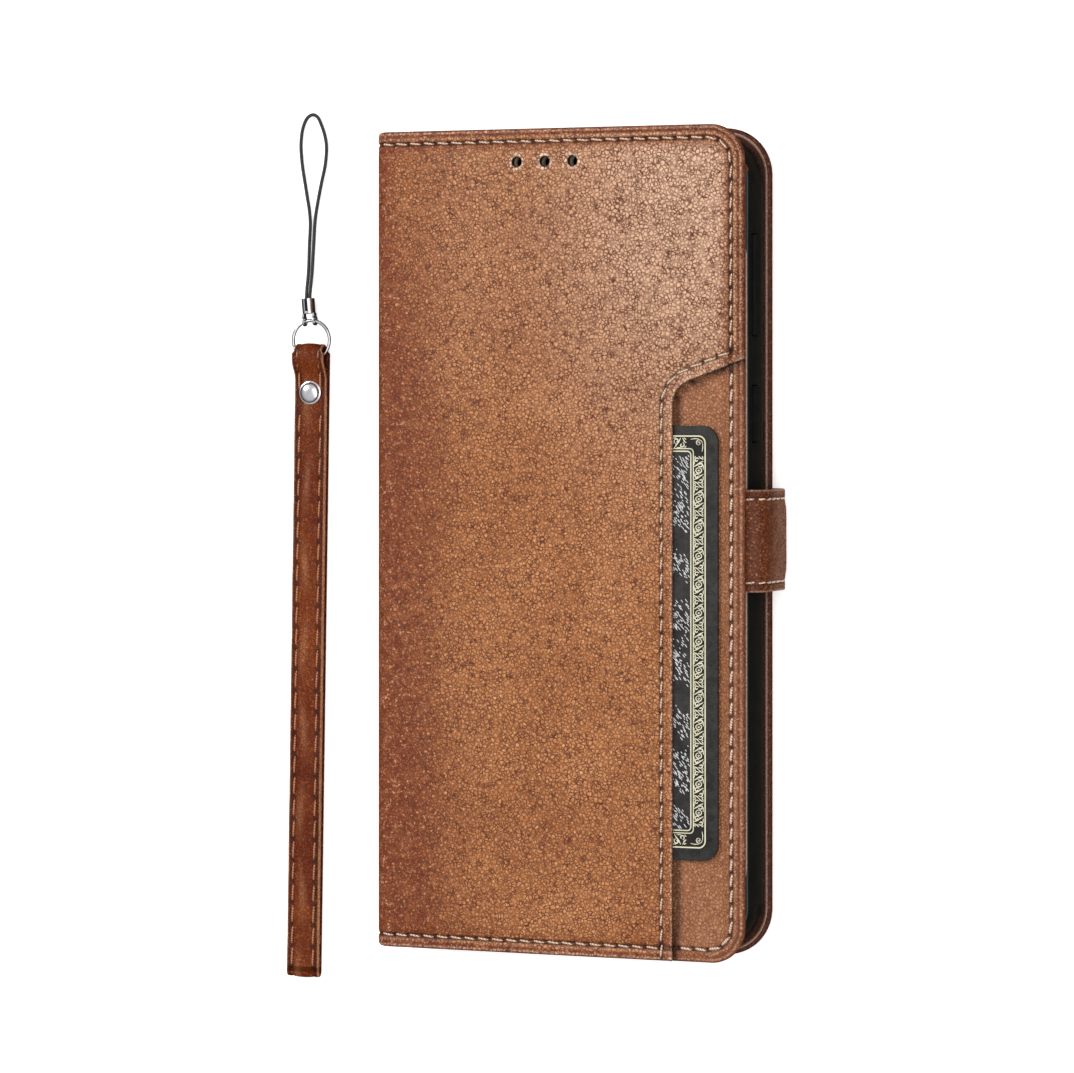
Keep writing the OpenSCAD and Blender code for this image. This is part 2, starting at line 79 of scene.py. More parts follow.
# ---------------------------------------------------------------- camera
cam = bpy.data.objects.new("camera", bpy.data.cameras.new("camera"))
bpy.context.scene.collection.objects.link(cam)
cam.location = TABLE @ Vector((321.69, 28.0, 807.65))
cam.rotation_euler = (0, math.radians(19.262), 0)
cam.data.lens = 141.15
cam.data.sensor_width = 36
cam.data.shift_x = -0.0465
cam.data.shift_y = -0.1261
cam.data.clip_start = 0.05
bpy.context.scene.camera = cam


# ---------------------------------------------------------------- materials
def rgb(r, g, b):
    """Linear colour of 0 to 255 display values."""
    return tuple(((c / 255 + 0.055) / 1.055) ** 2.4 for c in (r, g, b)) + (1.0,)


class Shader:
    """A node material with short calls for the nodes that it uses. Coordinates are in mm."""

    def __init__(self, name, rough=0.5, **sockets):
        self.material = bpy.data.materials.new(name)
        self.material.use_nodes = True
        self.tree = self.material.node_tree
        self.bsdf = self.tree.nodes["Principled BSDF"]
        self.bsdf.inputs["Roughness"].default_value = rough
        for key, value in sockets.items():
            self.bsdf.inputs[key.replace("_", " ")].default_value = value

    def add(self, kind, ins, out=0, **props):
        node = self.tree.nodes.new("ShaderNode" + kind)
        for key, value in props.items():
            setattr(node, key, value)
        for key, value in ins.items():
            if isinstance(value, bpy.types.NodeSocket):
                self.tree.links.new(value, node.inputs[key])
            else:
                node.inputs[key].default_value = value
        return node.outputs[out]

    def attr(self, name):
        return self.add("Attribute", {}, out=2, attribute_name=name)

    def place(self, own):
        """Coordinates in mm: the piece's own attribute, or the object's for a CAD node."""
        if own:
            return self.add("Attribute", {}, out=1, attribute_name="rest")
        coords = self.add("TexCoord", {}, out=3)
        return self.add("VectorMath", {0: coords, "Scale": 1000.0}, operation="SCALE")

    def shifted(self, vec, place, scale, detail, amount):
        """vec, moved by a noise of place."""
        shift = self.add("TexNoise", {"Vector": place, "Scale": scale, "Detail": detail}, out=1)
        shift = self.add("VectorMath", {0: shift, "Scale": amount}, operation="SCALE")
        return self.add("VectorMath", {0: vec, 1: shift}, operation="ADD")

    def math(self, op, a, b):
        return self.add("Math", {0: a, 1: b}, operation=op)

    def times(self, a, b):
        return self.math("MULTIPLY", a, b)

    def noise(self, vec, scale, detail=3.0, rough=0.6, warp=0.0):
        return self.add("TexNoise", {
            "Vector": vec, "Scale": scale, "Detail": detail, "Roughness": rough, "Distortion": warp,
        })

    def walls(self, vec, scale):
        """Distance to the nearest wall of a random net of cells."""
        return self.add("TexVoronoi", {"Vector": vec, "Scale": scale}, feature="DISTANCE_TO_EDGE")

    def span(self, value, a, b, c=0.0, d=1.0):
        """Maps a to c and b to d, smoothly, and holds the ends."""
        return self.add("MapRange", {0: value, 1: a, 2: b, 3: c, 4: d}, interpolation_type="SMOOTHSTEP")

    def mix(self, fac, a, b):
        return self.add("Mix", {0: fac, 6: a, 7: b}, out=2, data_type="RGBA")

    def ramp(self, fac, stops):
        node = self.tree.nodes.new("ShaderNodeValToRGB")
        while len(node.color_ramp.elements) < len(stops):
            node.color_ramp.elements.new(0.5)
        for element, (at, colour) in zip(node.color_ramp.elements, stops):
            element.position = at
            element.color = colour
        self.tree.links.new(fac, node.inputs[0])
        return node.outputs[0]

    def finish(self, colour, rough=None, height=None, depth=0.05):
        """Links the colour, the roughness and a bump of this depth in mm."""
        self.tree.links.new(colour, self.bsdf.inputs["Base Color"])
        if rough is not None:
            self.tree.links.new(rough, self.bsdf.inputs["Roughness"])
        if height is not None:
            bump = self.add("Bump", {"Height": height, "Distance": depth / 1000, "Strength": 1.0})
            self.tree.links.new(bump, self.bsdf.inputs["Normal"])
        return self.material


def leather(name, tones, red, rough=0.42, grain=1.4, depth=0.12, spec=0.22, pits=1.0, glints=0.45,
            creases=False):
    """Mottled, pebbled leather. tones: the painted shade in the grain's pits and creases, three of the ground, the
    painted glints on the grain's tops and the painted sheen; red: burnt edges.
    The pieces' own attributes say where those show: burn the burnt edges, pale the painted highlights and sheen
    and some pale rims, dark the painted shade in holes and grooves, crease the creases."""
    pit, *ground, glint, painted_sheen = (rgb(*tone) for tone in tones)
    s = Shader(name, rough, Specular_IOR_Level=spec)
    p = s.place(True)
    wide = s.noise(p, 0.028, 2.0, 0.55, 0.4)
    cloud = s.noise(p, 0.085, 5.0, 0.62, 0.6)
    speck = s.noise(p, 0.5, 3.0, 0.7)
    tone = s.math("ADD", s.times(wide, 0.45), s.times(cloud, 0.55))
    tone = s.math("ADD", tone, s.times(s.math("SUBTRACT", speck, 0.5), 0.25))
    colour = s.ramp(tone, list(zip((0.32, 0.5, 0.68), ground)))
    colour = s.mix(s.times(s.attr("burn"), s.span(speck, 0.25, 0.7, 0.6, 1.0)), colour, rgb(*red))
    # pale: painted highlights and painted sheen, and some pale rims
    colour = s.mix(s.attr("pale"), colour, painted_sheen)
    bent = s.shifted(p, p, 1.1, 2.0, 0.6)
    gaps = s.walls(bent, grain)
    # painted shade: the grain's valleys and low places take the pit tone
    valley = s.times(s.span(gaps, 0.02, 0.22, 1.0, 0.0), s.span(speck, 0.3, 0.65, 0.55, 1.0))
    fine = s.noise(bent, grain * 0.95, 3.0, 0.75)
    low = s.math("MAXIMUM", valley, s.span(fine, 0.35, 0.44, 0.5, 0.0))
    colour = s.mix(s.times(low, pits), colour, pit)
    # painted glints: the grain's tops take a lighter tone
    high = s.times(s.span(fine, 0.53, 0.64), s.math("SUBTRACT", 1.0, valley))
    colour = s.mix(s.times(high, glints), colour, glint)
    # dark: painted shade in holes, grooves and under edges, from the pieces' dark attribute
    colour = s.mix(s.attr("dark"), colour, rgb(34, 14, 8))
    height = s.math("ADD", s.times(s.span(gaps, 0.0, 0.3), 0.7), s.times(fine, 0.9))
    if creases:
        flat = s.add("VectorMath", {0: p, 1: (0.6, 1.5, 1.0)}, operation="MULTIPLY")
        warp = s.shifted(flat, p, 0.1, 1.5, 7.0)
        line = s.span(s.walls(warp, 0.42), 0.0, 0.06, 1.0, 0.0)
        small = s.span(s.walls(warp, 1.0), 0.0, 0.1, 0.7, 0.0)
        both = s.times(s.math("MAXIMUM", line, small), s.attr("crease"))
        both = s.times(both, s.span(cloud, 0.4, 0.6, 0.2, 1.0))
        # painted shade in the creases' lines
        colour = s.mix(s.times(both, 0.3), colour, pit)
        height = s.math("SUBTRACT", height, s.times(both, 0.7))
    return s.finish(colour, s.span(cloud, 0.3, 0.7, rough - 0.06, rough + 0.08), height, depth)


cover_leather = leather("cover_leather_grain", (
    (84, 38, 15), (153, 91, 49), (171, 109, 63), (189, 128, 82), (230, 178, 130), (230, 194, 166),
), (116, 44, 14), creases=True)
lower_leather = leather("lower_leather_grain", (
    (92, 50, 28), (142, 90, 58), (156, 103, 69), (168, 116, 82), (204, 156, 120), (218, 178, 144),
), (126, 58, 26), pits=0.85, glints=0.4)
clasp_leather = leather("clasp_leather_grain", (
    (48, 18, 6), (96, 46, 20), (114, 58, 28), (134, 76, 44), (184, 122, 84), (220, 180, 156),
), (84, 30, 10), rough=0.3, spec=0.2, depth=0.1, pits=0.8, glints=0.6, grain=1.6, creases=True)
strap_leather = leather("strap_leather_grain", (
    (40, 6, 0), (82, 26, 0), (102, 38, 2), (130, 62, 18), (190, 118, 66), (206, 146, 104),
), (66, 12, 0), rough=0.2, spec=0.12, depth=0.1, pits=0.55, glints=0.3, grain=1.5, creases=True)
lining_leather = leather("lining_leather_grain", (
    (34, 14, 9), (52, 25, 17), (64, 33, 23), (76, 42, 30), (98, 60, 45), (208, 172, 150),
), (46, 18, 10), rough=0.5, pits=0.4, glints=0.3, spec=0.12)


def twisted(name, light, dark, rough=0.6):
    """Sewing thread: two plies that twist round each other."""
    s = Shader(name, rough, Sheen_Weight=0.15)
    p = s.place(True)
    turn = s.add("TexWave", {"Vector": p, "Scale": 1.1, "Distortion": 0.6, "Detail": 1.0},
                 bands_direction="DIAGONAL")
    both = s.math("ADD", s.times(turn, 0.6), s.times(s.noise(p, 6.0, 2.0), 0.4))
    return s.finish(s.ramp(both, [(0.2, rgb(*dark)), (0.75, rgb(*light))]), None, turn, 0.05)


def speckled(name, a, b, rough, scale, depth, own=False, metal=0.0, specular=0.5):
    """Moulded plastic, board, foam or metal: two tones and a fine surface noise."""
    s = Shader(name, rough, Metallic=metal, Specular_IOR_Level=specular)
    p = s.place(own)
    big = s.noise(p, scale * 0.12)
    fine = s.noise(p, scale, 2.0)
    colour = s.ramp(s.math("ADD", s.times(big, 0.6), s.times(fine, 0.4)), [(0.3, rgb(*a)), (0.7, rgb(*b))])
    return s.finish(colour, s.span(big, 0.3, 0.7, max(rough - 0.05, 0.02), rough + 0.07), fine, depth)


def tray_plastic():
    """Black TPU, with a painted highlight band along its top rim and a fainter painted highlight band low on its
    wall.
    """
    s = Shader("tray_moulded", 0.3, Specular_IOR_Level=0.07)
    p = s.place(False)
    level = s.add("VectorMath", {0: p, 1: tuple(case_z)}, out=1, operation="DOT_PRODUCT")
    level = s.math("SUBTRACT", level, origin.dot(case_z) * 1000)
    fine = s.noise(p, 4.0, 2.0)
    colour = s.mix(s.noise(p, 0.4, 3.0), rgb(12, 13, 12), rgb(26, 28, 26))
    # painted highlight: a grey band along the tray's top rim
    lip = s.math("MULTIPLY", s.span(level, 11.0, 11.35), s.span(level, 11.9, 11.6))
    colour = s.mix(s.math("MULTIPLY", lip, 0.8), colour, rgb(76, 82, 84))
    # painted highlight: a paler band low on the wall, where its lower edge rounds
    edge = s.math("MULTIPLY", s.span(level, 2.3, 2.6), s.span(level, 3.2, 2.8))
    colour = s.mix(s.math("MULTIPLY", edge, 0.5), colour, rgb(70, 72, 70))
    return s.finish(colour, None, fine, 0.01)


tray_black = tray_plastic()
thread = twisted("thread_twist", (232, 210, 188), (140, 98, 72))
dark_thread = twisted("dark_thread_twist", (196, 128, 82), (92, 40, 18), 0.5)
cord_black = twisted("cord_braid", (44, 43, 42), (14, 14, 14), 0.7)
# own pieces: their materials use the pieces' rest coordinates
own = {"own": True}
card_black = speckled("card_moulded", (14, 13, 12), (58, 57, 55), 0.45, 4.0, 0.04, specular=0.15, **own)
card_ivory = speckled("card_print_ivory", (186, 180, 150), (220, 215, 190), 0.45, 3.0, 0.01, specular=0.2, **own)
card_silver = speckled("card_print_silver", (176, 178, 178), (214, 216, 214), 0.35, 5.0, 0.01, specular=0.3, **own)
card_ink = speckled("card_print_ink", (16, 16, 14), (30, 29, 26), 0.5, 6.0, 0.01, specular=0.2, **own)
nickel = speckled("nickel_polish", (176, 176, 180), (206, 206, 208), 0.2, 2.2, 0.006, metal=1.0, **own)
foam_white = speckled("foam_cells", (206, 200, 184), (226, 221, 206), 0.95, 2.8, 0.1, **own)
# CAD nodes
nickel_cad = speckled("nickel_stamped", (176, 176, 180), (206, 206, 208), 0.24, 2.2, 0.006, metal=1.0)
board_grey = speckled("board_fibre", (148, 134, 112), (170, 156, 132), 0.9, 2.4, 0.06)
glue_white = speckled("glue_film", (214, 212, 202), (236, 235, 228), 0.5, 1.6, 0.02)
steel = speckled("steel_rolled", (150, 152, 156), (178, 180, 184), 0.35, 3.0, 0.01, metal=1.0)
magnet = speckled("magnet_plated", (160, 160, 164), (186, 186, 190), 0.28, 3.0, 0.01, metal=1.0)


def build(name, verts, faces, material, slot, frame_matrix=CASE, rest=None, **attrs):
    """A mesh piece from vertices in mm of the frame, with the coordinates that its material uses."""
    verts = np.asarray(verts, float)
    m = np.array(frame_matrix)
    world = verts @ m[:3, :3].T + m[:3, 3]
    mesh = bpy.data.meshes.new(name)
    mesh.from_pydata(world.tolist(), [], [list(f) for f in faces])
    mesh.update()
    data = mesh.attributes.new("rest", "FLOAT_VECTOR", "POINT").data
    data.foreach_set("vector", np.asarray(verts if rest is None else rest, np.float32).ravel())
    for key, values in attrs.items():
        data = mesh.attributes.new(key, "FLOAT", "POINT").data
        data.foreach_set("value", np.asarray(values, np.float32))
    mesh.materials.append(material)
    mesh.polygons.foreach_set("use_smooth", [True] * len(mesh.polygons))
    obj = bpy.data.objects.new(name, mesh)
    bpy.context.scene.collection.objects.link(obj)
    return obj


def bends(obj, stands_for, bodies, start, end):
    """obj stands for CAD nodes: it hides them and bakes obj's transform into its mesh. bodies, start and end (the
    two bodies and case points to bend between) are not used.
    """
    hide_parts(*stands_for)
    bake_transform(obj)


def ease(x, a, b):
    """0 before a, 1 after b, smooth between them."""
    t = np.clip((np.asarray(x, float) - a) / (b - a), 0, 1)
    return t * t * (3 - 2 * t)


def dip(x, at, width):
    return np.exp(-(((np.asarray(x, float) - at) / width) ** 2))


def outline(corners, step=0.6):
    """Samples a counter-clockwise outline of (x, y, fillet, kind): points, inward normals and side kinds."""
    n = len(corners)
    corner = [np.array(c[:2], float) for c in corners]
    cuts = []
    for i in range(n):
        a, b, c = corner[i - 1], corner[i], corner[(i + 1) % n]
        u, w = (a - b) / np.linalg.norm(a - b), (c - b) / np.linalg.norm(c - b)
        half = math.acos(float(np.clip(u @ w, -1, 1))) / 2
        r = corners[i][2]
        if r > 0:
            centre = b + (u + w) / np.linalg.norm(u + w) * (r / math.sin(half))
            cuts.append((b + u * r / math.tan(half), b + w * r / math.tan(half), centre))
        else:
            cuts.append((b, b, b))
    points, normals, kinds = [], [], []
    for i in range(n):
        start, end, centre = cuts[i]
        r, kind = corners[i][2], corners[i][3]
        if r > 0:
            a0 = math.atan2(*(start - centre)[::-1])
            turn = (math.atan2(*(end - centre)[::-1]) - a0 + math.pi) % (2 * math.pi) - math.pi
            count = max(3, math.ceil(abs(turn) * r / step), math.ceil(abs(turn) / math.radians(8)))
            for k in range(count):
                out = np.array([math.cos(a0 + turn * k / count), math.sin(a0 + turn * k / count)])
                points.append(centre + r * out)
                normals.append(-out if turn > 0 else out)
                kinds.append(kind)
        run = cuts[(i + 1) % n][0] - end
        length = np.linalg.norm(run)
        count = max(1, math.ceil(length / step))
        for k in range(count):
            points.append(end + run * k / count)
            normals.append(np.array([-run[1], run[0]]) / length)
            kinds.append(kind)
    return np.array(points), np.array(normals), np.array(kinds)


def nearest(q, a, b):
    """Distance from each point of q to the nearest of the segments a to b."""
    found = np.full(len(q), 1e9)
    if not len(a):
        return found
    ab = b - a
    size = np.maximum((ab**2).sum(1), 1e-12)
    for i in range(0, len(q), 1500):
        p = q[i : i + 1500, None, :] - a[None]
        t = np.clip((p * ab).sum(2) / size, 0, 1)
        found[i : i + 1500] = np.sqrt(((p - t[..., None] * ab) ** 2).sum(2)).min(1)
    return found


def inside(q, polygon):
    hit = np.zeros(len(q), bool)
    for (x0, y0), (x1, y1) in zip(polygon, np.roll(polygon, -1, 0)):
        if y0 != y1:
            left = q[:, 0] < (x1 - x0) * (q[:, 1] - y0) / (y1 - y0) + x0
            hit ^= ((y0 > q[:, 1]) != (y1 > q[:, 1])) & left
    return hit


LOOPS = (0.08, 0.2, 0.38, 0.6, 0.85, 1.05, 1.25, 1.45, 1.75, 2.05, 2.3, 2.5, 2.7, 2.95, 3.3, 3.9, 4.7, 5.6)
ROUND_HOLE = (0.1, 0.22, 0.4, 0.7, 1.1)
HOLE_CLEAR = 1.5


def field(corners, holes=(), loops=LOOPS, grid=1.25, fine_until=None, step=0.6):
    """Triangulates a panel: rows of points along its edges, rings round its holes and a grid between them."""
    edge, normal, kind = outline(corners, step)
    n = len(edge)
    ends = np.roll(edge, -1, 0)
    live = kind > 0
    rings = [np.array(h) for h in holes]

    def clear(q):
        ok = inside(q, edge) & (nearest(q, edge[~live], ends[~live]) > 0.25)
        for ring in rings:
            ok &= ~inside(q, ring) & (nearest(q, ring, np.roll(ring, -1, 0)) > HOLE_CLEAR)
        return ok

    rows = []
    for d in loops:
        q = edge[live] + normal[live] * d
        rows.append(q[clear(q) & (nearest(q, edge[live], ends[live]) > d - 0.03)])
    x0, y0 = edge.min(0)
    x1, y1 = edge.max(0)
    us = np.arange(x0 + grid / 2, x1, grid)
    if fine_until is not None:
        us = np.arange(fine_until + grid / 2, x1, grid)
        us = np.concatenate([np.arange(x0 + 0.5, fine_until, 0.5), us])
    gx, gy = np.meshgrid(us, np.arange(y0 + grid / 2, y1, grid))
    q = np.stack([gx.ravel(), gy.ravel()], 1)
    margin = loops[-1] + grid * 0.5
    q = q[clear(q)]
    rows.append(q[nearest(q, edge[live], ends[live]) > margin])
    points = [edge]
    edges = [(i, (i + 1) % n) for i in range(n)]
    at = n
    for ring in rings:
        points.append(ring)
        edges += [(at + i, at + (i + 1) % len(ring)) for i in range(len(ring))]
        at += len(ring)
        centre = ring.mean(0)
        out = (ring - centre) / np.linalg.norm(ring - centre, axis=1)[:, None]
        for d in ROUND_HOLE:
            points.append(ring + out * d)
            at += len(ring)
    points = np.concatenate(points + rows)
    co, _, tris, source, _, _ = delaunay_2d_cdt([Vector(p) for p in points], edges, [], 0, 1e-5)
    co = np.array([(c.x, c.y) for c in co])
    tris = np.array([t for t in tris if len(t) == 3])
    middle = co[tris].mean(1)
    keep = inside(middle, edge)
    for ring in rings:
        keep &= ~inside(middle, ring)
    tris = tris[keep]
    index = {}
    for i, olds in enumerate(source):
        for old in olds:
            index[old] = i
    chain = np.array([index[i] for i in range(n)])
    dist = {k: nearest(co, edge[kind == k], ends[kind == k]) for k in sorted(set(kind)) if k > 0}
    found = []
    at = n
    for ring in rings:
        found.append((nearest(co, ring, np.roll(ring, -1, 0)), [index[at + i] for i in range(len(ring))]))
        at += len(ring) * (1 + len(ROUND_HOLE))
    return {"co": co, "tris": tris, "chain": chain, "edge": edge, "kind": kind, "normal": normal, "dist": dist,
            "hole": found}


class Bent:
    """A line in the case's xz plane that a panel follows: u along it and h outward from it."""

    def __init__(self, u0, points):
        p = np.array(points, float)
        self.p = p
        self.u = u0 + np.concatenate([[0], np.cumsum(np.linalg.norm(np.diff(p, axis=0), axis=1))])
        t = np.gradient(p, axis=0)
        t /= np.linalg.norm(t, axis=1)[:, None]
        self.n = np.stack([-t[:, 1], t[:, 0]], 1)

    def at(self, u, v, h):
        x = np.interp(u, self.u, self.p[:, 0])
        z = np.interp(u, self.u, self.p[:, 1])
        nx = np.interp(u, self.u, self.n[:, 0])
        nz = np.interp(u, self.u, self.n[:, 1])
        size = np.hypot(nx, nz)
        return np.stack([x + h * nx / size, v, z + h * nz / size], 1)


def arc(cx, cz, r, a0, a1, count):
    a = np.radians(np.linspace(a0, a1, count))
    return [(cx + r * math.cos(t), cz + r * math.sin(t)) for t in a]


def panel(name, f, bend, height, skirts, material, slot, flip=False, wall=(), **attrs):
    """A leather panel from a field: height is its relief, skirts say how each kind of edge turns down
    (inset, drop), and wall how deep each hole's wall is."""
    co = f["co"]
    verts = [bend.at(co[:, 0], co[:, 1], height)]
    faces = [tuple(t[::-1]) if flip else tuple(t) for t in f["tris"]]
    n = len(f["edge"])
    count = max(len(s) for s in skirts.values())
    at = len(co)
    edge_h = height[f["chain"]]
    rows = [f["chain"]]
    kinds = np.maximum(f["kind"], np.roll(f["kind"], 1))
    for k in range(count):
        inset = np.zeros(n)
        drop = edge_h.copy()
        for kind, profile in skirts.items():
            use = kinds == kind
            i, d = profile[min(k, len(profile) - 1)]
            inset[use] = i
            drop[use] = d(f["edge"][use, 0]) if callable(d) else d
        q = f["edge"] + f["normal"] * inset[:, None]
        verts.append(bend.at(q[:, 0], q[:, 1], drop))
        rows.append(np.arange(at, at + n))
        at += n
    for a, b in zip(rows, rows[1:]):
        for i in range(n):
            if f["kind"][i] > 0:
                j = (i + 1) % n
                quad = (a[i], b[i], b[j], a[j])
                faces.append(quad[::-1] if flip else quad)
    for (dist, ring), depth in zip(f["hole"], wall):
        lower = bend.at(co[ring, 0], co[ring, 1], height[ring] - depth)
        verts.append(lower)
        m = len(ring)
        for i in range(m):
            j = (i + 1) % m
            quad = (ring[j], at + j, at + i, ring[i])
            faces.append(quad[::-1] if flip else quad)
        at += m
    verts = np.concatenate(verts)
    rest = np.zeros((len(verts), 3))
    rest[: len(co), :2] = co
    rest[: len(co), 2] = height
    rest[len(co):] = verts[len(co):]
    full = {}
    for key, values in attrs.items():
        extra = np.zeros(len(verts))
        extra[: len(co)] = values
        tail = np.asarray(values)[f["chain"]]
        for k in range(count):
            extra[len(co) + k * n : len(co) + (k + 1) * n] = tail
        # the holes' walls are fully dark: painted shade inside the holes
        extra[len(co) + count * n:] = 1.0 if key == "dark" else 0.0
        full[key] = extra
    return build(name, verts, faces, material, slot, rest=rest, **full)


def circle(cx, cy, r, count=28):
    turns = [2 * math.pi * i / count for i in range(count)]
    return [(cx + r * math.cos(t), cy + r * math.sin(t)) for t in turns]


def loft(rings, closed=False, caps=True):
    """Verts and faces through rings of equal size. A closed loft joins its last ring to its first."""
    rings = [np.asarray(r, float) for r in rings]
    m, n = len(rings), len(rings[0])
    faces = []
    for i in range(m if closed else m - 1):
        a, b = i * n, (i + 1) % m * n
        for k in range(n):
            j = (k + 1) % n
            faces.append((a + k, a + j, b + j, b + k))
    if caps and not closed:
        faces.append(tuple(range(n))[::-1])
        faces.append(tuple(range((m - 1) * n, m * n)))
    return np.concatenate(rings), faces


STRIP_STEPS = np.array([0, 0.06, 0.16, 0.32, 0.55, 0.85, 1.2, 1.55, 1.8, 2.05, 2.4, 3.0, 4.0])


def strip_section(half, thick, top):
    """A strap's closed section: a top relief over round edges and a flat underside."""
    middle = np.linspace(-half + 4.0, half - 4.0, 9) if half > 4.6 else [0.0]
    ws = np.unique(np.round(np.concatenate([STRIP_STEPS - half, middle, half - STRIP_STEPS]), 4))
    ws = ws[(ws >= -half) & (ws <= half)]
    lower = [(half, -thick * 0.6), (half - 0.12, -thick * 0.9), (half - 0.35, -thick)]
    return [(w, top(w)) for w in ws] + lower + [(-w, h) for w, h in lower[::-1]]


# one stitch: place along it, share of its thickness, height over the leather in thicknesses
STITCH = ((0, 0.25, -0.5), (0.06, 0.7, -0.12), (0.18, 0.95, 0.05), (0.36, 1, 0.13),
          (0.64, 1, 0.13), (0.82, 0.95, 0.05), (0.94, 0.7, -0.12), (1, 0.25, -0.5))


def strands(name, seams, material, slot, frame_matrix=CASE, thick=0.42, wide=0.5):
    """Stitches: each is a strand of thread that comes up from its hole, lies on the leather and goes down
    again. seams holds (start, end, up) triples in mm."""
    verts, faces = [], []
    turns = [2 * math.pi * k / 8 for k in range(8)]
    for a, b, up in seams:
        a, b, up = (np.array(x, float) for x in (a, b, up))
        along = b - a
        length = np.linalg.norm(along)
        along /= length
        side = np.cross(up, along)
        rings = []
        for t, r, lift in STITCH:
            centre = a + along * length * t + up * lift * thick
            rings.append([centre + side * wide / 2 * r * math.cos(turn) + up * thick / 2 * r * math.sin(turn)
                          for turn in turns])
        v, f = loft(rings)
        at = sum(len(x) for x in verts)
        verts.append(v)
        faces += [tuple(i + at for i in face) for face in f]
    return build(name, np.concatenate(verts), faces, material, slot, frame_matrix)


def seam_points(points, pitch, start=0.0, end=None):
    """Places at equal steps along a polyline, with the direction there."""
    points = np.array(points, float)
    s = np.concatenate([[0], np.cumsum(np.linalg.norm(np.diff(points, axis=0), axis=1))])
    end = s[-1] if end is None else end
    count = max(1, round((end - start) / pitch))
    at = np.linspace(start, end, count + 1)
    return np.stack([np.interp(at, s, points[:, k]) for k in range(points.shape[1])], 1)


# ---------------------------------------------------------------- cord
ROUTE = [
    (-21.3, 46.55, 2), (-21.5, 49.2, 1.95), (-21.6, 51.5, 1.45), (-21.6, 54, 0.85), (-21.6, 56.5, 0.5),
    (-21.5, 60.5, 0.42), (-21.3, 64.6, 0.42), (-21.5, 67.5, 0.42), (-22, 70.5, 0.42), (-22.6, 74, 0.42),
    (-23.1, 77.1, 0.42), (-23.4, 80.6, 0.42), (-23.25, 83.3, 0.42), (-22.75, 85.4, 0.42), (-21.9, 86.9, 0.42),
    (-20.7, 87.5, 0.42), (-19.6, 86.9, 0.42), (-18.75, 85.2, 0.42), (-18, 83, 0.42), (-17.65, 80.5, 0.42),
    (-17.95, 77, 0.42), (-18.65, 73.9, 0.42), (-19.4, 70.4, 0.42), (-20, 67.1, 0.42), (-20.3, 64.6, 0.42),
    (-20.55, 60.4, 0.42), (-20.75, 56.5, 0.5), (-20.8, 54, 0.85), (-20.8, 51.5, 1.45), (-20.75, 49.3, 1.95),
    (-20.55, 46.6, 2),
]
CORD_R = 0.35


def smooth_route(points, parts=6):
    """The same curve through the route's points that the CAD follows."""
    p = np.array(points, float)
    line = []
    for i in range(len(p) - 1):
        a, b, c, d = p[max(i - 1, 0)], p[i], p[i + 1], p[min(i + 2, len(p) - 1)]
        for k in range(parts):
            t = k / parts
            line.append(b + t / 2 * (c - a + t * (2 * a - 5 * b + 4 * c - d + t * (3 * (b - c) + d - a))))
    line.append(p[-1])
    return np.array(line)


def make_cord():
    line = smooth_route(ROUTE)
    ahead = np.gradient(line, axis=0)
    ahead /= np.linalg.norm(ahead, axis=1)[:, None]
    side = np.cross(ahead, (0, 0, 1.0))
    side /= np.linalg.norm(side, axis=1)[:, None]
    up = np.cross(side, ahead)
    run = np.concatenate([[0], np.cumsum(np.linalg.norm(np.diff(line, axis=0), axis=1))])
    rings, rest = [], []
    sides = 14
    for p, s, u, d in zip(line, side, up, run):
        angle = [2 * math.pi * k / sides for k in range(sides)]
        rings.append([p + CORD_R * (math.cos(a) * s + math.sin(a) * u) for a in angle])
        rest += [(d, CORD_R * a, 0) for a in angle]
    verts, faces = loft(rings)
    obj = build("cord", verts, faces, cord_black, "cord_black", TABLE, rest=rest)
    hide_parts("cord_loop")
    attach(obj, "cord_end")
    return obj


make_cord()

# ---------------------------------------------------------------- front cover's outer panel
FOLD = 3.0
SEAM_Z = 8.15
HOLE_XS, HOLE_Y, HOLE_R = (31.4, 37.4, 43.4), TOP - 6.7, 1.05
MOUTH_X, SLOPE = 64.5, math.radians(20)
MOUTH_KNEE = 30.77
MOUTH_EDGE = MOUTH_KNEE + (W - MOUTH_X) * math.tan(SLOPE)
INSET = 2.6


def turned(u0, wall, level, r, rows, count, xs):
    """The line from the middle of the spine, at x = wall, round a fold of radius r to a level face."""
    side = 1 if level > SEAM_Z else -1
    centre = level - side * r
    return Bent(u0, [(wall, z) for z in np.linspace(SEAM_Z, centre, rows)[:-1]]
                + arc(wall + r, centre, r, 180, 180 - side * 90, count) + [(x, level) for x in xs])


spine_u0 = FOLD - FOLD * math.pi / 2 - (T - FOLD - SEAM_Z)
front_bend = turned(spine_u0, 0, T, FOLD, 12, 33, (4, 6, 20, 60, 90))
front = field([
    (spine_u0, -TOP, 0, 1), (MOUTH_X, -TOP, 0.5, 2), (MOUTH_X, MOUTH_KNEE, 5.1, 2),
    (W, MOUTH_EDGE, 0.4, 1), (W, TOP, 7.2, 1), (spine_u0, TOP, 0, 0),
], [circle(x, HOLE_Y, HOLE_R) for x in HOLE_XS], fine_until=5.0)
FRONT_FOLD = (("spine", "front_cover"), (0, 0, T - FOLD), (FOLD, 0, T))

# seams: the edge stitching on the panel and the stitching beside the mouth
PITCH = 3.05
MOUTH_SEAM = 2.35
RIB, GROOVE, LIP = 1.75, 1.05, 0.55  # embossed lines, from the edge


def offset_line(f, d, keep):
    live = f["kind"] > 0
    q = f["edge"] + f["normal"] * d
    return q[keep & (nearest(q, f["edge"][live], np.roll(f["edge"], -1, 0)[live]) > d - 0.05)]


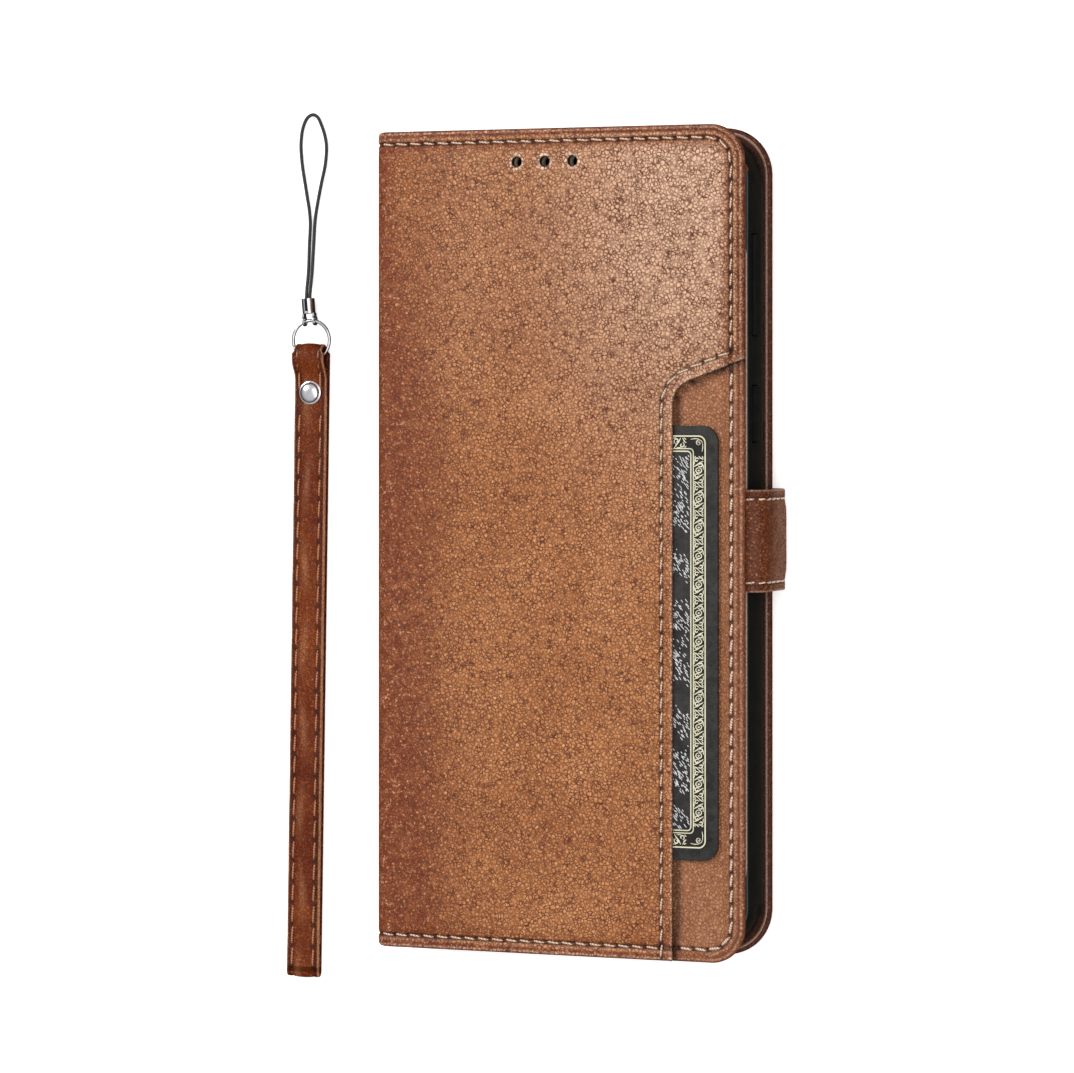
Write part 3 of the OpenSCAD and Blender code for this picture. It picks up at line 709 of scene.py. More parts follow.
on_edge, edge_y = front["kind"] == 1, front["edge"][:, 1]
bottom = offset_line(front, INSET, on_edge & (edge_y < -TOP + 0.01))
bottom = bottom[(bottom[:, 0] > 1.0) & (bottom[:, 0] < MOUTH_X - 2.2)]
upper = offset_line(front, INSET, on_edge & (edge_y > MOUTH_EDGE))
upper = upper[upper[:, 0] > 1.0]
mouth = offset_line(front, MOUTH_SEAM, front["kind"] == 2)
mouth = np.concatenate([[[MOUTH_X - MOUTH_SEAM, -TOP + 0.5]], mouth[mouth[:, 1] > -TOP + 1.0]])
mouth = mouth[mouth[:, 0] < W - 0.3]
edge_holes = [seam_points(line, PITCH) for line in (bottom, upper)]
mouth_holes = seam_points(mouth, PITCH)


def hole_marks(co, centres):
    """1 at a needle hole and 0 away from it."""
    d = np.full(len(co), 1e9)
    for i in range(0, len(co), 4000):
        part = co[i : i + 4000, None, :] - centres[None]
        d[i : i + 4000] = np.sqrt((part**2).sum(2)).min(1)
    return np.exp(-((d / 0.42) ** 2))


def rolled(d, r):
    """How far a rounded edge of radius r drops at the distance d from it."""
    t = np.clip(r - d, 0, r)
    return r - np.sqrt(np.maximum(r * r - t * t, 0))


def swell(co):
    """The slight unevenness of leather over foam."""
    x, y = co[:, 0], co[:, 1]
    wave = np.sin(x * 0.16 + 1.3 * np.sin(y * 0.05)) + np.sin(y * 0.11 + 0.9 * np.sin(x * 0.07 + 1))
    return 0.06 * wave * 0.5


def spine_burn(x, y):
    """The dark tone beside the spine, stronger towards the bottom."""
    return 0.95 * ease(24 - x, 0, 19) * (0.35 + 0.65 * ease(70 - y, 0, 40))


def front_relief():
    """Relief and tones of the outer panel; d1 runs from the cover's edges and d2 from the pocket's mouth."""
    co, d1, d2 = front["co"], front["dist"][1], front["dist"][2]
    x, y = co[:, 0], co[:, 1]
    right = (x > 40) & (y > 0)
    strong = np.where(right, 1.0, 0.5)
    near = np.minimum(d1, d2 + 0.25)
    marks = hole_marks(co, np.concatenate([*edge_holes, mouth_holes]))
    hole_d = np.min([hole[0] for hole in front["hole"]], axis=0)
    h = -rolled(d1, 0.9) - rolled(d2, 0.32)
    h += (0.42 * ease(near, INSET + 0.15, INSET + 2.6) * ease(x, 2.0, 9.0)
          + swell(co) * ease(near, 3, 8) * ease(x, 3, 10))
    h -= 0.26 * dip(d1, INSET, 0.3) + 0.24 * dip(d2, MOUTH_SEAM, 0.28)
    h += strong * (0.09 * dip(d1, RIB, 0.32) - 0.16 * dip(d1, GROOVE, 0.18) + 0.06 * dip(d1, LIP, 0.22))
    h -= 0.34 * marks
    h -= 0.2 * dip(hole_d, 0, 0.3)
    burn = (0.75 * ease(INSET + 0.1 - d1, 0, 0.5) * (1 - 0.75 * dip(d1, RIB, 0.35))
            * np.where(right, 1.0, 0.7))
    burn += 0.85 * ease(5.2 - d1, 0, 2.3) * np.where(right, 1.0, 0.8) * (d1 > INSET)
    burn += 0.9 * dip(d1, GROOVE, 0.22) + 0.6 * dip(d1, 0.0, 0.3)
    burn += 0.8 * ease(7 - x, 0, 6) + spine_burn(x, y)
    burn += 0.25 * ease(2.4 - d2, 0, 0.6) + 0.3 * ease(-y, 20, 75) * ease(30 - x, 0, 25)
    # painted sheen: paler towards the upper right, and faintly at the upper left
    painted_sheen = 0.12 * ease(y, 10, 60) * ease(x, 4, 24) + 0.6 * ease(x, 28, 68) * ease(y, -14, 72)
    # pale: painted highlights on the embossed lip and rib lines and the painted sheen, with a pale line along the
    # mouth's rolled edge and pale rings round the punched holes
    pale = (0.5 * dip(d1, LIP, 0.2) + 0.4 * dip(d1, RIB, 0.3) * np.where(right, 1, 0.5)
            + 0.35 * dip(d2, 0.35, 0.25))
    pale += 1.2 * dip(hole_d, 0.34, 0.26) + painted_sheen * ease(d1, INSET, INSET + 2.5)
    # dark: painted shade in the needle holes, the punched holes, the stitch and embossed grooves and along the
    # mouth's edge; a dark line at the cover's outer edge
    dark = 0.95 * marks + 0.6 * dip(d2, 0.0, 0.14) + 0.9 * dip(hole_d, 0.0, 0.09)
    dark += 0.6 * (dip(d1, INSET - 0.3, 0.13) + dip(d1, INSET + 0.32, 0.15)) * (d1 < 4)
    dark += 0.45 * (dip(d2, MOUTH_SEAM - 0.3, 0.12) + dip(d2, MOUTH_SEAM + 0.32, 0.14))
    dark += 0.45 * dip(d1, GROOVE, 0.12) * strong + 0.35 * dip(d1, 0.0, 0.12)
    crease = ease(x, 36, 62) * ease(y, 8, 34) * (1 - 0.4 * ease(y, 66, 78))
    crease = np.maximum(crease, 0.4 * ease(x, 14, 40) * ease(y, 30, 60))
    crease = np.maximum(crease, 0.35 * ease(x, 44, 60) * ease(-y, -40, -10))
    return h, {"burn": np.clip(burn, 0, 1), "pale": np.clip(pale, 0, 1), "dark": np.clip(dark, 0, 1),
               "crease": crease}


def edge_drop(at_spine, beyond):
    """A skirt's drop that is smaller at the spine."""
    return lambda u: np.where(u < 6, at_spine, beyond)


h, tones = front_relief()
front_skin = panel(
    "front_pocket_leather", front, front_bend, h,
    {1: [(0, -1.0), (0.12, -1.6), (0.5, edge_drop(-1.8, -2.5)), (0.85, edge_drop(-1.9, -3.2)),
         (1.4, edge_drop(-1.9, -3.2))],
     2: [(0.02, -0.42), (0.1, -0.55), (1.2, -0.55)]},
    cover_leather, "cover_leather", wall=(1.2, 1.2, 1.2), **tones,
)
bends(front_skin, ("front_pocket_skin", "spine_skin"), *FRONT_FOLD)


def run_seams(bend, lines, height, gap=0.34, slant=0.15):
    """Strands from hole to hole along lines of (u, v) points. height is a number or a function of the point."""
    out = []
    for holes in lines:
        for a, b in zip(holes, holes[1:]):
            way = (b - a) / np.linalg.norm(b - a)
            across = np.array([-way[1], way[0]]) * slant
            p, q = a + way * gap + across, b - way * gap - across
            low, high = (height(p), height(q)) if callable(height) else (height, height)
            start, end, above = bend.at(*np.array([p, q, p]).T, np.array([low, high, low + 1.0]))
            out.append((start, end, above - start))
    return out


for name, lines, lift, node in (("front_edge_thread", edge_holes, -0.1, "front_edge_stitching"),
                                ("pocket_thread", [mouth_holes], -0.08, "pocket_stitching")):
    piece = strands(name, run_seams(front_bend, lines, lift), thread, "thread", thick=0.38, wide=0.38)
    bends(piece, [node], *FRONT_FOLD)

# ---------------------------------------------------------------- front cover's lower panel
LOWER_Z = 14.9
lower_bend = Bent(0, [(x, LOWER_Z) for x in (0, 30, 60, 90)])
lower = field(
    [(5, -TOP, 0, 1), (W, -TOP, 7.2, 1), (W, TOP - 8, 0, 0), (5, TOP - 8, 0, 0)], grid=1.6,
)
mouth_edge = front["edge"][front["kind"] == 2]
mouth_line = np.concatenate([[[MOUTH_X, -TOP - 3]], mouth_edge, [[W + 6, MOUTH_EDGE + 6 * math.tan(SLOPE)]]])
# how far a point of the lower panel is from the pocket's mouth: positive where it shows
shown = nearest(lower["co"], mouth_line[:-1], mouth_line[1:])
strip_area = np.concatenate([mouth_line, [[W + 6, -TOP - 3]]])
shown = np.where(inside(lower["co"], strip_area), shown, -shown)
lower_line = offset_line(lower, INSET, lower["kind"] == 1)
lower_line = lower_line[(lower_line[:, 0] > MOUTH_X + 0.6) & (lower_line[:, 1] < MOUTH_EDGE - 2.0)]
lower_holes = seam_points(lower_line, PITCH)


def border_height(x):
    """The lower panel's border rises from the bottom edge's height to the right edge's."""
    return 0.45 + 0.62 * ease(x, 70, 73)


def lower_relief():
    co, d = lower["co"], lower["dist"][1]
    right = ease(co[:, 0], 70, 73)
    marks = hole_marks(co, lower_holes)
    h = border_height(co[:, 0]) * (1 - ease(d, INSET + 0.3, INSET + 2.6)) * ease(shown, -1.2, 0.2)
    h = h - rolled(d, 0.9) * ease(shown, -1.5, 0.0) + 0.5 * swell(co) * ease(d, 3, 8)
    h -= (0.2 * dip(d, INSET, 0.3)) * ease(shown, -0.5, 0)
    h += (0.08 * dip(d, RIB, 0.3) - 0.15 * dip(d, GROOVE, 0.18) + 0.06 * dip(d, LIP, 0.22)) * right
    h -= 0.3 * marks
    side = np.where(co[:, 0] > 72, 1, 0.6)
    burn = (0.8 * ease(INSET - 0.2 - d, 0, 0.6) * (1 - 0.7 * dip(d, RIB, 0.35))
            + 0.4 * ease(4.6 - d, 0, 1.8)) * side
    burn += 0.9 * dip(d, GROOVE, 0.22) * right + 0.6 * dip(d, 0.0, 0.3)
    # pale: painted highlights on the embossed lip and rib lines. shadow and dark: painted shadow below the
    # pocket's mouth and painted shade in the needle holes and the seam and embossed grooves
    pale = 0.45 * dip(d, LIP, 0.2) + 0.35 * dip(d, RIB, 0.3) * right
    shadow = 0.95 * dip(shown, 0.05, 0.3) + 0.45 * dip(shown, 0.6, 0.7)
    dark = 0.9 * marks + shadow + 0.55 * (dip(d, INSET - 0.3, 0.13) + dip(d, INSET + 0.32, 0.15))
    dark += 0.4 * dip(d, GROOVE, 0.12) * right + 0.3 * dip(d, 0.0, 0.12)
    return h, {"burn": np.clip(burn, 0, 1), "pale": np.clip(pale, 0, 1), "dark": np.clip(dark, 0, 1)}


h, tones = lower_relief()
lower_skin = panel(
    "front_lower_leather", lower, lower_bend, h,
    {1: [(0, -0.1), (0.15, -0.5), (0.5, -1.25), (0.85, -1.8), (1.4, -1.8)]},
    lower_leather, "lower_leather", **tones,
)
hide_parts("front_lower_skin")
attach(lower_skin, "front_cover")
lower_seams = run_seams(lower_bend, [lower_holes], lambda p: border_height(p[0]) - 0.04)
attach(strands("front_lower_thread", lower_seams, thread, "thread"), "front_cover")

# ---------------------------------------------------------------- foam under the outer panel
foam = field([
    (6, -TOP + 1.5, 0.5, 1), (12, -TOP + 1.5, 0.5, 1), (12, TOP - 10, 3, 1), (60, TOP - 10, 3, 1),
    (60, TOP - 13.5, 1, 1), (W - 5, TOP - 13.5, 3, 1), (W - 5, TOP - 1.5, 4, 1), (6, TOP - 1.5, 0.5, 1),
], [circle(x, HOLE_Y, 1.9) for x in HOLE_XS], loops=(0.15, 0.4, 0.8), grid=3.0, step=2.0)
padding = panel("front_foam", foam, Bent(0, [(0, 15.66), (90, 15.66)]), -rolled(foam["dist"][1], 0.35),
                {1: [(0, -0.4), (0, -0.7), (0.3, -0.74), (0.6, -0.74)]}, foam_white, "foam",
                wall=(0.74, 0.74, 0.74))
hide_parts("front_padding")
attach(padding, "front_cover")

# ---------------------------------------------------------------- card
CARD = (19.8, -62.5, 73.8, 23.1)
CARD_Z = 15.70


def rounded_rect(x0, y0, x1, y1, r, step=0.5):
    return outline([(x0, y0, r, 1), (x1, y0, r, 1), (x1, y1, r, 1), (x0, y1, r, 1)], step)[0]


def inset_rect(box, dx, dy0, dy1, r, parts=8):
    """A rectangle inside a box with the same count of points at any inset."""
    x0, y0, x1, y1 = box[0] + dx, box[1] + dy0, box[2] - dx, box[3] - dy1
    out = []
    for cx, cy, a in ((x1 - r, y1 - r, 0), (x0 + r, y1 - r, 90), (x0 + r, y0 + r, 180), (x1 - r, y0 + r, 270)):
        for k in range(parts + 1):
            t = math.radians(a + 90 * k / parts)
            out.append((cx + r * math.cos(t), cy + r * math.sin(t)))
    return out


rings = [[(x, y, z) for x, y in inset_rect(CARD, i, i, i, 3.2 - i)]
         for i, z in ((0.1, 14.94), (0, 15.04), (0, 15.58), (0.03, 15.65), (0.12, CARD_Z))]
verts, faces = loft(rings)
card = build("card_body", verts, faces, card_black, "card_plastic")
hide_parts("bank_card")
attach(card, "card")


# printed bands between two insets (side, bottom, top) from the card's edge, with their corner radii
for name, a, b, rise, material, ra, rb in (
    ("card_line_outer", (2.5, 2.47, 1.86), (2.76, 2.73, 2.12), 0.012, card_ivory, 1.5, 1.24),
    ("card_band", (2.92, 2.95, 2.3), (5.02, 5.3, 4.38), 0.01, card_ink, 1.1, 0.5),
    ("card_line_mid", (5.0, 5.3, 4.36), (5.2, 5.5, 4.56), 0.012, card_ivory, 0.9, 0.7),
    ("card_line_inner", (5.5, 5.8, 4.86), (5.74, 6.04, 5.1), 0.012, card_ivory, 0.9, 0.66),
):
    outer, inner = inset_rect(CARD, *a, ra), inset_rect(CARD, *b, rb)
    n = len(outer)
    verts = [(x, y, CARD_Z + rise) for x, y in outer + inner]
    faces = [(i, (i + 1) % n, n + (i + 1) % n, n + i) for i in range(n)]
    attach(build(name, verts, faces, material, "card_plastic"), "card")


def ribbon(points, width):
    """Flat stroke through points: its left and right sides, thinner at the ends."""
    p = np.array(points, float)
    t = np.gradient(p, axis=0)
    t /= np.maximum(np.linalg.norm(t, axis=1), 1e-9)[:, None]
    n = np.stack([-t[:, 1], t[:, 0]], 1)
    w = width / 2 * (0.45 + 0.55 * np.sin(np.linspace(0.15, math.pi - 0.15, len(p))))[:, None]
    return p + n * w, p - n * w


def curl(cx, cy, r0, r1, a0, a1, count=12):
    """An arc whose radius runs from r0 to r1 over the angles a0 to a1."""
    steps = [(r0 + (r1 - r0) * k / count, math.radians(a0 + (a1 - a0) * k / count)) for k in range(count + 1)]
    return [(cx + r * math.cos(t), cy + r * math.sin(t)) for r, t in steps]


def motif():
    """One repeat of the band's ornament, 6.45 long and 2 wide about the origin: a ring, scrolls, leaves
    and bars."""
    half = [
        (curl(1.3, 0.4, 0.56, 0.14, 250, -110, 18), 0.26),
        (curl(2.35, -0.42, 0.54, 0.14, 70, -280, 18), 0.26),
        ([(0.85, -0.98), (1.25, -0.35), (1.75, 0.25), (2.1, 0.98)], 0.26),
        ([(2.5, 0.98), (2.85, 0.3), (3.22, 0.0)], 0.26),
        ([(0.2, 0.98), (0.7, 0.95), (1.2, 0.98)], 0.2), ([(1.3, -0.98), (1.8, -0.92), (2.2, -0.98)], 0.2),
        ([(2.75, 0.98), (3.0, 0.8), (3.22, 0.72)], 0.22), ([(2.9, -0.98), (3.05, -0.75), (3.22, -0.6)], 0.22),
    ]
    turned_half = [([(-px, -py) for px, py in points], width) for points, width in half]
    rings = [(curl(0, 0, 0.6, 0.6, 0, 360, 20), 0.24), (curl(0, 0, 0.14, 0.14, 0, 360, 8), 0.2)]
    return rings + half + turned_half


def strokes(name, items, z, material):
    verts, faces = [], []
    for points, width in items:
        left, right = ribbon(points, width)
        at = len(verts)
        m = len(left)
        verts += [(x, y, z) for x, y in left] + [(x, y, z) for x, y in right]
        faces += [(at + m + i, at + m + i + 1, at + i + 1, at + i) for i in range(m - 1)]
    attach(build(name, verts, faces, material, "card_plastic"), "card")


# the ornament in the printed band: REPEAT long motifs, squeezed to fit between the corner scrolls
REPEAT, CORNER = 6.45, 2.6
x_left, x_right = CARD[0] + 3.97, CARD[2] - 3.97
y_low, y_high = CARD[1] + 4.12, CARD[3] - 3.34
items = []
for side, x in ((1, x_right), (-1, x_left)):
    for k in range(13):
        squeeze = (y_high - y_low - 2 * CORNER) / (13 * REPEAT)
        y = y_high - CORNER - REPEAT * (k + 0.5) * squeeze
        items += [([(x + side * py, y + px * squeeze) for px, py in points], width)
                  for points, width in motif()]
for side, y in ((1, y_high), (-1, y_low)):
    for k in range(6):
        squeeze = (x_right - x_left - 2 * CORNER) / (6 * REPEAT)
        x = x_left + CORNER + REPEAT * (k + 0.5) * squeeze
        items += [([(x + px * squeeze, y + side * py) for px, py in points], width)
                  for points, width in motif()]
scroll = [(curl(0, 0, r, 0.15, start, start + 400, 20), 0.2) for r, start in ((0.75, 0), (0.45, 120))]
scroll += [([(-1.7, 0.7), (-0.9, 0.85), (0, 0.8)], 0.18), ([(0.8, 0), (0.85, -0.9), (0.7, -1.7)], 0.18)]
for sx, x in ((1, x_right), (-1, x_left)):
    for sy, y in ((1, y_high), (-1, y_low)):
        items += [([(x + sx * px, y + sy * py) for px, py in points], width) for points, width in scroll]
strokes("card_ornament", items, CARD_Z + 0.02, card_ivory)

hatch = []
for k in range(9000):
    x = rng.uniform(CARD[0] + 6.2, CARD[2] - 6.2)
    y = rng.uniform(CARD[1] + 6.6, CARD[3] - 5.6)
    wave = math.sin(y * 0.62 + x * 0.35) + 0.6 * math.sin(y * 0.23 - x * 0.2)
    if wave + rng.uniform(-0.5, 0.5) < -0.25:
        continue
    length = rng.uniform(0.35, 1.1) * (1.6 if rng.uniform() > 0.93 else 0.9)
    dx, dy = length * 0.62, -length * 0.78
    if x + dx < CARD[2] - 5.8 and y + dy > CARD[1] + 6.1:
        hatch.append(([(x, y), (x + dx / 2, y + dy / 2), (x + dx, y + dy)], 0.17))
strokes("card_hatch", hatch, CARD_Z + 0.014, card_silver)

# ---------------------------------------------------------------- clasp
CLASP_Y, CLASP_HALF, CLASP_SEAM = 0.5, 10.1, 8.2
CX, HIGH_Z, LOW_Z, CR = 79.4, 11.1, 0.95, 3.2
UNDER = 0.24  # how far the leather under the back cover lies inwards
UPPER_BEND = (("front_cover", "clasp_side"), (83, 0.5, 12.5), (83, 0.5, 9.7))
LOWER_BEND = (("clasp_side", "clasp_tip"), (83, 0.5, 2.4), (83, 0.5, -0.4))


def clasp_top(w):
    e = CLASP_HALF - abs(w)
    return float(-rolled(e, 0.4) - 0.15 * dip(abs(w), CLASP_SEAM, 0.26) + 0.28 * ease(7.9 - abs(w), 0, 2.4)
                 - 0.05 * dip(e, 0.75, 0.15))


def clasp_piece(name, line, thick, stands_for, where, leather_side=True):
    """The clasp's leather, or its lining 0.8 mm inside it, along a line in the case's xz plane."""
    half = CLASP_HALF if leather_side else CLASP_HALF - 0.15
    slot = "clasp_leather" if leather_side else "lining_leather"
    bend = Bent(0, line)
    rings, rest, burn, pale, dark = [], [], [], [], []
    for p, m, s, th in zip(bend.p, bend.n, bend.u, np.broadcast_to(thick, len(line))):
        section = strip_section(half, th, clasp_top if leather_side else lambda w: 0.0)
        sunk = UNDER * float(ease(LOW_Z - p[1], 0, CR)) if leather_side else 0.8
        rings.append([(p[0] + m[0] * (h - sunk), CLASP_Y + w, p[1] + m[1] * (h - sunk)) for w, h in section])
        for w, h in section:
            rest.append((s, w, h))
            e = half - abs(w)
            # painted highlights along the edges and a painted sheen, stronger lower down the clasp's side
            painted_sheen = 0.6 * dip(e, 0.12, 0.2) + 0.24 * ease(HIGH_Z + 1.0 - p[1], 0, 9)
            groove = dip(abs(w), CLASP_SEAM - 0.34, 0.12) + dip(abs(w), CLASP_SEAM + 0.34, 0.12)
            burn.append(float(0.5 * ease(2.2 - e, 0, 0.8) + 0.4 * dip(e, 0.75, 0.2)))
            pale.append(float(painted_sheen * (h > -th * 0.5)))
            # dark: painted shade beside the seams and on the section's sides and underside
            dark.append(float(0.5 * (groove + (1 if h < -th * 0.5 and leather_side else 0))))
    verts, faces = loft(rings)
    obj = build(name, verts, [f[::-1] for f in faces], clasp_leather if leather_side else lining_leather, slot,
                rest=rest, burn=burn, pale=pale, dark=dark, crease=[0.8 * (v[2] > -0.5) for v in rest])
    bends(obj, stands_for, *where)


# both lines meet half way down the clasp's side
mid_z = 6.0
up_line = [(x, HIGH_Z + CR) for x in (69, 72, 75, 77, 78.3)] + arc(CX, HIGH_Z, CR, 90, 0, 26) \
    + [(CX + CR, z) for z in (10.5, 9.7, 8.8, 7.9, 6.9, mid_z + 0.02, mid_z)]
low_line = [(CX + CR, z) for z in (mid_z, mid_z - 0.02, 5.2, 4.3, 3.4, 2.5, 1.6)] \
    + arc(CX, LOW_Z, CR, 0, -90, 26) \
    + [(x, LOW_Z - CR) for x in (78.8, 77, 74, 71, 68, 65, 62.5, 61, 60.4, 60.1, 60)]
root_thick = np.interp(range(len(up_line)), (0, 5, 6, 99), (0.1, 0.1, 0.7, 0.7))
tip_thick = [0.7] * 33 + [1.0] + [1.38] * (len(low_line) - 37) + [1.3, 1.1, 0.8]
clasp_piece("clasp_upper_leather", up_line, 0.78, ["clasp_root_leather"], UPPER_BEND)
clasp_piece("clasp_lower_leather", low_line, 0.78, ["clasp_side_leather", "clasp_tip_leather"], LOWER_BEND)
clasp_piece("clasp_upper_lining", up_line, root_thick, ["clasp_root_lining"], UPPER_BEND, False)
clasp_piece("clasp_lower_lining", low_line, tip_thick, ["clasp_side_lining", "clasp_tip_lining"], LOWER_BEND,
            False)


def clasp_threads(name, line, skip, stands_for, where):
    holes = seam_points(line, 2.9, *skip)
    seams = []
    for a, b in zip(holes, holes[1:]):
        way = (b - a) / np.linalg.norm(b - a)
        n = np.array([-way[1], way[0]])
        # a strand bows over the bends, and lies in its groove on the flat
        bow = (0.06 if abs(way[0] * way[1]) > 0.05 else -0.02) - UNDER * float(ease(LOW_Z - a[1], 0, CR))
        p, q = a + way * 0.4 + n * bow, b - way * 0.4 + n * bow
        for y in (CLASP_Y - CLASP_SEAM, CLASP_Y + CLASP_SEAM):
            seams.append(((p[0], y - 0.07, p[1]), (q[0], y + 0.07, q[1]), (n[0], 0, n[1])))
    bends(strands(name, seams, thread, "thread", thick=0.38, wide=0.42), stands_for, *where)


clasp_threads("clasp_upper_thread", up_line, (9.6, None), ["clasp_root_stitching"], UPPER_BEND)
clasp_threads("clasp_lower_thread", low_line, (0.0, 25.5), ["clasp_side_stitching", "clasp_tip_stitching"],
              LOWER_BEND)

# ---------------------------------------------------------------- back cover
BACK_FOLD = (("back_cover", "spine"), (FOLD, 0, 0), (0, 0, FOLD))
WINDOW = (46, 36, 74, 78)  # the camera's window
back_bend = turned(spine_u0, 0, 0, FOLD, 12, 33, (4, 6, 20, 60, 90))
back_bend.n = -back_bend.n
back = field(
    [(spine_u0, -TOP, 0, 1), (BACK_W, -TOP, 9.5, 1), (BACK_W, TOP, 9.5, 1), (spine_u0, TOP, 0, 0)],
    [rounded_rect(*WINDOW, 9, 1.0)],
    loops=(0.1, 0.3, 0.6, 0.9, 1.2, 1.5, 1.8, 2.2, 2.6, 3.0, 3.8), grid=2.0, fine_until=5.0,
)
back_line = offset_line(back, INSET, back["kind"] == 1)
back_holes = seam_points(back_line[back_line[:, 0] > 1.0], PITCH)


def back_relief():
    co, d, hole = back["co"], back["dist"][1], back["hole"][0][0]
    x, y = co[:, 0], co[:, 1]
    marks = hole_marks(co, back_holes)
    h = -rolled(d, 0.8) - 0.2 * dip(d, INSET, 0.3) + swell(co) * 0.6 * ease(d, 3, 8) - 0.12 * dip(d, 1.2, 0.2)
    h -= 0.12 * ease(6 - d, 0, 3)
    h -= 0.35 * dip(hole, 0, 0.5)
    h -= 0.25 * marks
    burn = 0.8 * ease(INSET - d, 0, 1.0) + 0.3 * ease(5 - d, 0, 2.5) + 0.8 * ease(7.0 - x, 0, 6.0)
    burn += spine_burn(x, y)
    # pale: a pale rim round the camera window; dark: painted shade in the needle holes and at the turned edge
    return h, {"burn": np.clip(burn, 0, 1), "pale": 0.3 * dip(hole, 0.3, 0.3),
               "dark": np.clip(0.8 * marks + 0.65 * dip(d, 0, 0.3), 0, 1)}


h, tones = back_relief()
back_skin = panel(
    "back_outer_leather", back, back_bend, h, {1: [(0, -1.1), (0, -1.6), (0, -1.95), (0.75, -2.0)]},
    cover_leather, "cover_leather", flip=True, wall=(1.7,), **tones,
)
bends(back_skin, ["back_outer_skin"], *BACK_FOLD)
back_threads = strands("back_thread", run_seams(back_bend, [back_holes], -0.14), thread, "thread", thick=0.32)
bends(back_threads, ["back_stitching"], *BACK_FOLD)

# ---------------------------------------------------------------- linings and inner pockets
LIN_X, LIN_R = 1.9, 1.6


def lining_sheet(name, level, side_x, radius, holes, out, **look):
    """A cover's lining. holes is called with the difference between its length along the bend and its x."""
    bend = turned(0, LIN_X, level, LIN_R, 6, 14, (5, 20, 60, 90))
    bend.n = bend.n * out
    end = float(np.interp(side_x, bend.p[-4:, 0], bend.u[-4:]))
    y = TOP - 0.75
    f = field([(0, -y, 0, 1), (end, -y, radius, 1), (end, y, radius, 1), (0, y, 0, 0)], holes(end - side_x),
              loops=(0.1, 0.3, 0.6, 1.0, 1.6, 2.4), grid=3.0, fine_until=9.0, step=1.0)
    d = f["dist"][1]
    h = look["lift"] - rolled(d, 0.25) + look["uneven"] * swell(f["co"]) * ease(d, 2, 8)
    return panel(name, f, bend, h, {1: [(0.0, -0.28), (0.1, -0.3)]}, lining_leather, "lining_leather",
                 flip=out < 0, wall=look["wall"], burn=0.4 * ease(2.5 - d, 0, 1.5),
                 pale=look["pale"] * dip(d, *look["rim"]), dark=0 * d)


lining = lining_sheet("front_lining_sheet", 13.1, W - 1.1, 6.4,
                      lambda shift: [circle(x + shift, HOLE_Y, HOLE_R, 20) for x in HOLE_XS], -1,
                      lift=0.06, uneven=0.5, wall=(0.3, 0.3, 0.3), pale=0.5, rim=(0.05, 0.15))
bends(lining, ("front_lining", "spine_lining"), ("spine", "front_cover"), (1.2, 0, 11.6), (3.4, 0, 13.6))
lining_b = lining_sheet("back_lining_sheet", 2.0, BACK_W - 0.6, 8.9,
                        lambda shift: [rounded_rect(46 + shift, 36, 74 + shift, 78, 9, 1.0)], 1,
                        lift=0.05, uneven=0, wall=(0.35,), pale=0.85, rim=(0.1, 0.22))
bends(lining_b, ["back_lining"], ("back_cover", "spine"), (3.4, 0, 1.6), (1.2, 0, 3.4))


def facing(z):
    """A flat line at the height z whose outward side faces the phone."""
    bend = Bent(0, [(0, z), (90, z)])
    bend.n = -bend.n
    return bend


def inner_panel(name, corners, z, thick, node):
    """A pocket or card slot inside the front cover: a leather sheet with a turned, stitched edge."""
    f = field(corners, loops=(0.08, 0.25, 0.5, 0.9, 1.4, 2.0), grid=3.2, step=0.8)
    d = f["dist"][1]
    # dark: painted shade along the seam line
    obj = panel(name, f, facing(z), -rolled(d, 0.16) - 0.05 * dip(d, 1.2, 0.2),
                {1: [(0, -thick * 0.7), (0.1, -thick * 0.95), (1.5, -thick)]}, lining_leather,
                "lining_leather", flip=True, burn=0.5 * ease(1.2 - d, 0, 0.4), pale=0.9 * dip(d, 0.0, 0.2),
                dark=0.5 * dip(d, 1.2, 0.12))
    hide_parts(node)
    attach(obj, "front_cover")


inner_panel(
    "cash_pocket_leather", [(3.6, -71.5, 8, 1), (W - 0.4, -71.5, 8, 1), (W - 0.4, 64, 8, 1), (3.6, 64, 8, 1)],
    12.75, 0.33, "cash_pocket_panel",
)
for k in (1, 2, 3):
    x = 36 + 10 * k
    notch = [(x, -8.5, 0.8, 1), (x - 5.2, -5.6, 2.5, 1), (x - 5.2, 5.6, 2.5, 1), (x, 8.5, 0.8, 1)]
    inner_panel(f"card_slot_leather_{k}",
                [(8, -45, 1.5, 1), (x, -45, 1.5, 1)] + notch + [(x, 45, 1.5, 1), (8, 45, 1.5, 1)],
                12.0 + 0.25 * (k - 1), 0.22, f"card_slot_{k}")
slot_seams = []
for z, lines in ((12.0, (((9, -44), (45, -44)), ((9, 44), (45, 44)))),
                 (12.76, (((5.2, -64), (5.2, 56)), ((9, -70), (70, -70))))):
    slot_seams += run_seams(facing(z), [seam_points(line, 3.0) for line in lines], 0, gap=0.35, slant=0)
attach(strands("inner_pocket_thread", slot_seams, thread, "thread", thick=0.2, wide=0.36), "front_cover")

# ---------------------------------------------------------------- wrist strap
BAND_T, BAND_HALF, FOLD_OUT = 1.1, 3.55, 2.1
BAND_TOP, BAND_LOW = -0.8, -132.2
BAND_SEAM, BAND_PITCH = 2.35, 4.4
BAND_Z = 2.2
FOLD_Y = BAND_TOP - FOLD_OUT
RIVET_Y = -10.9


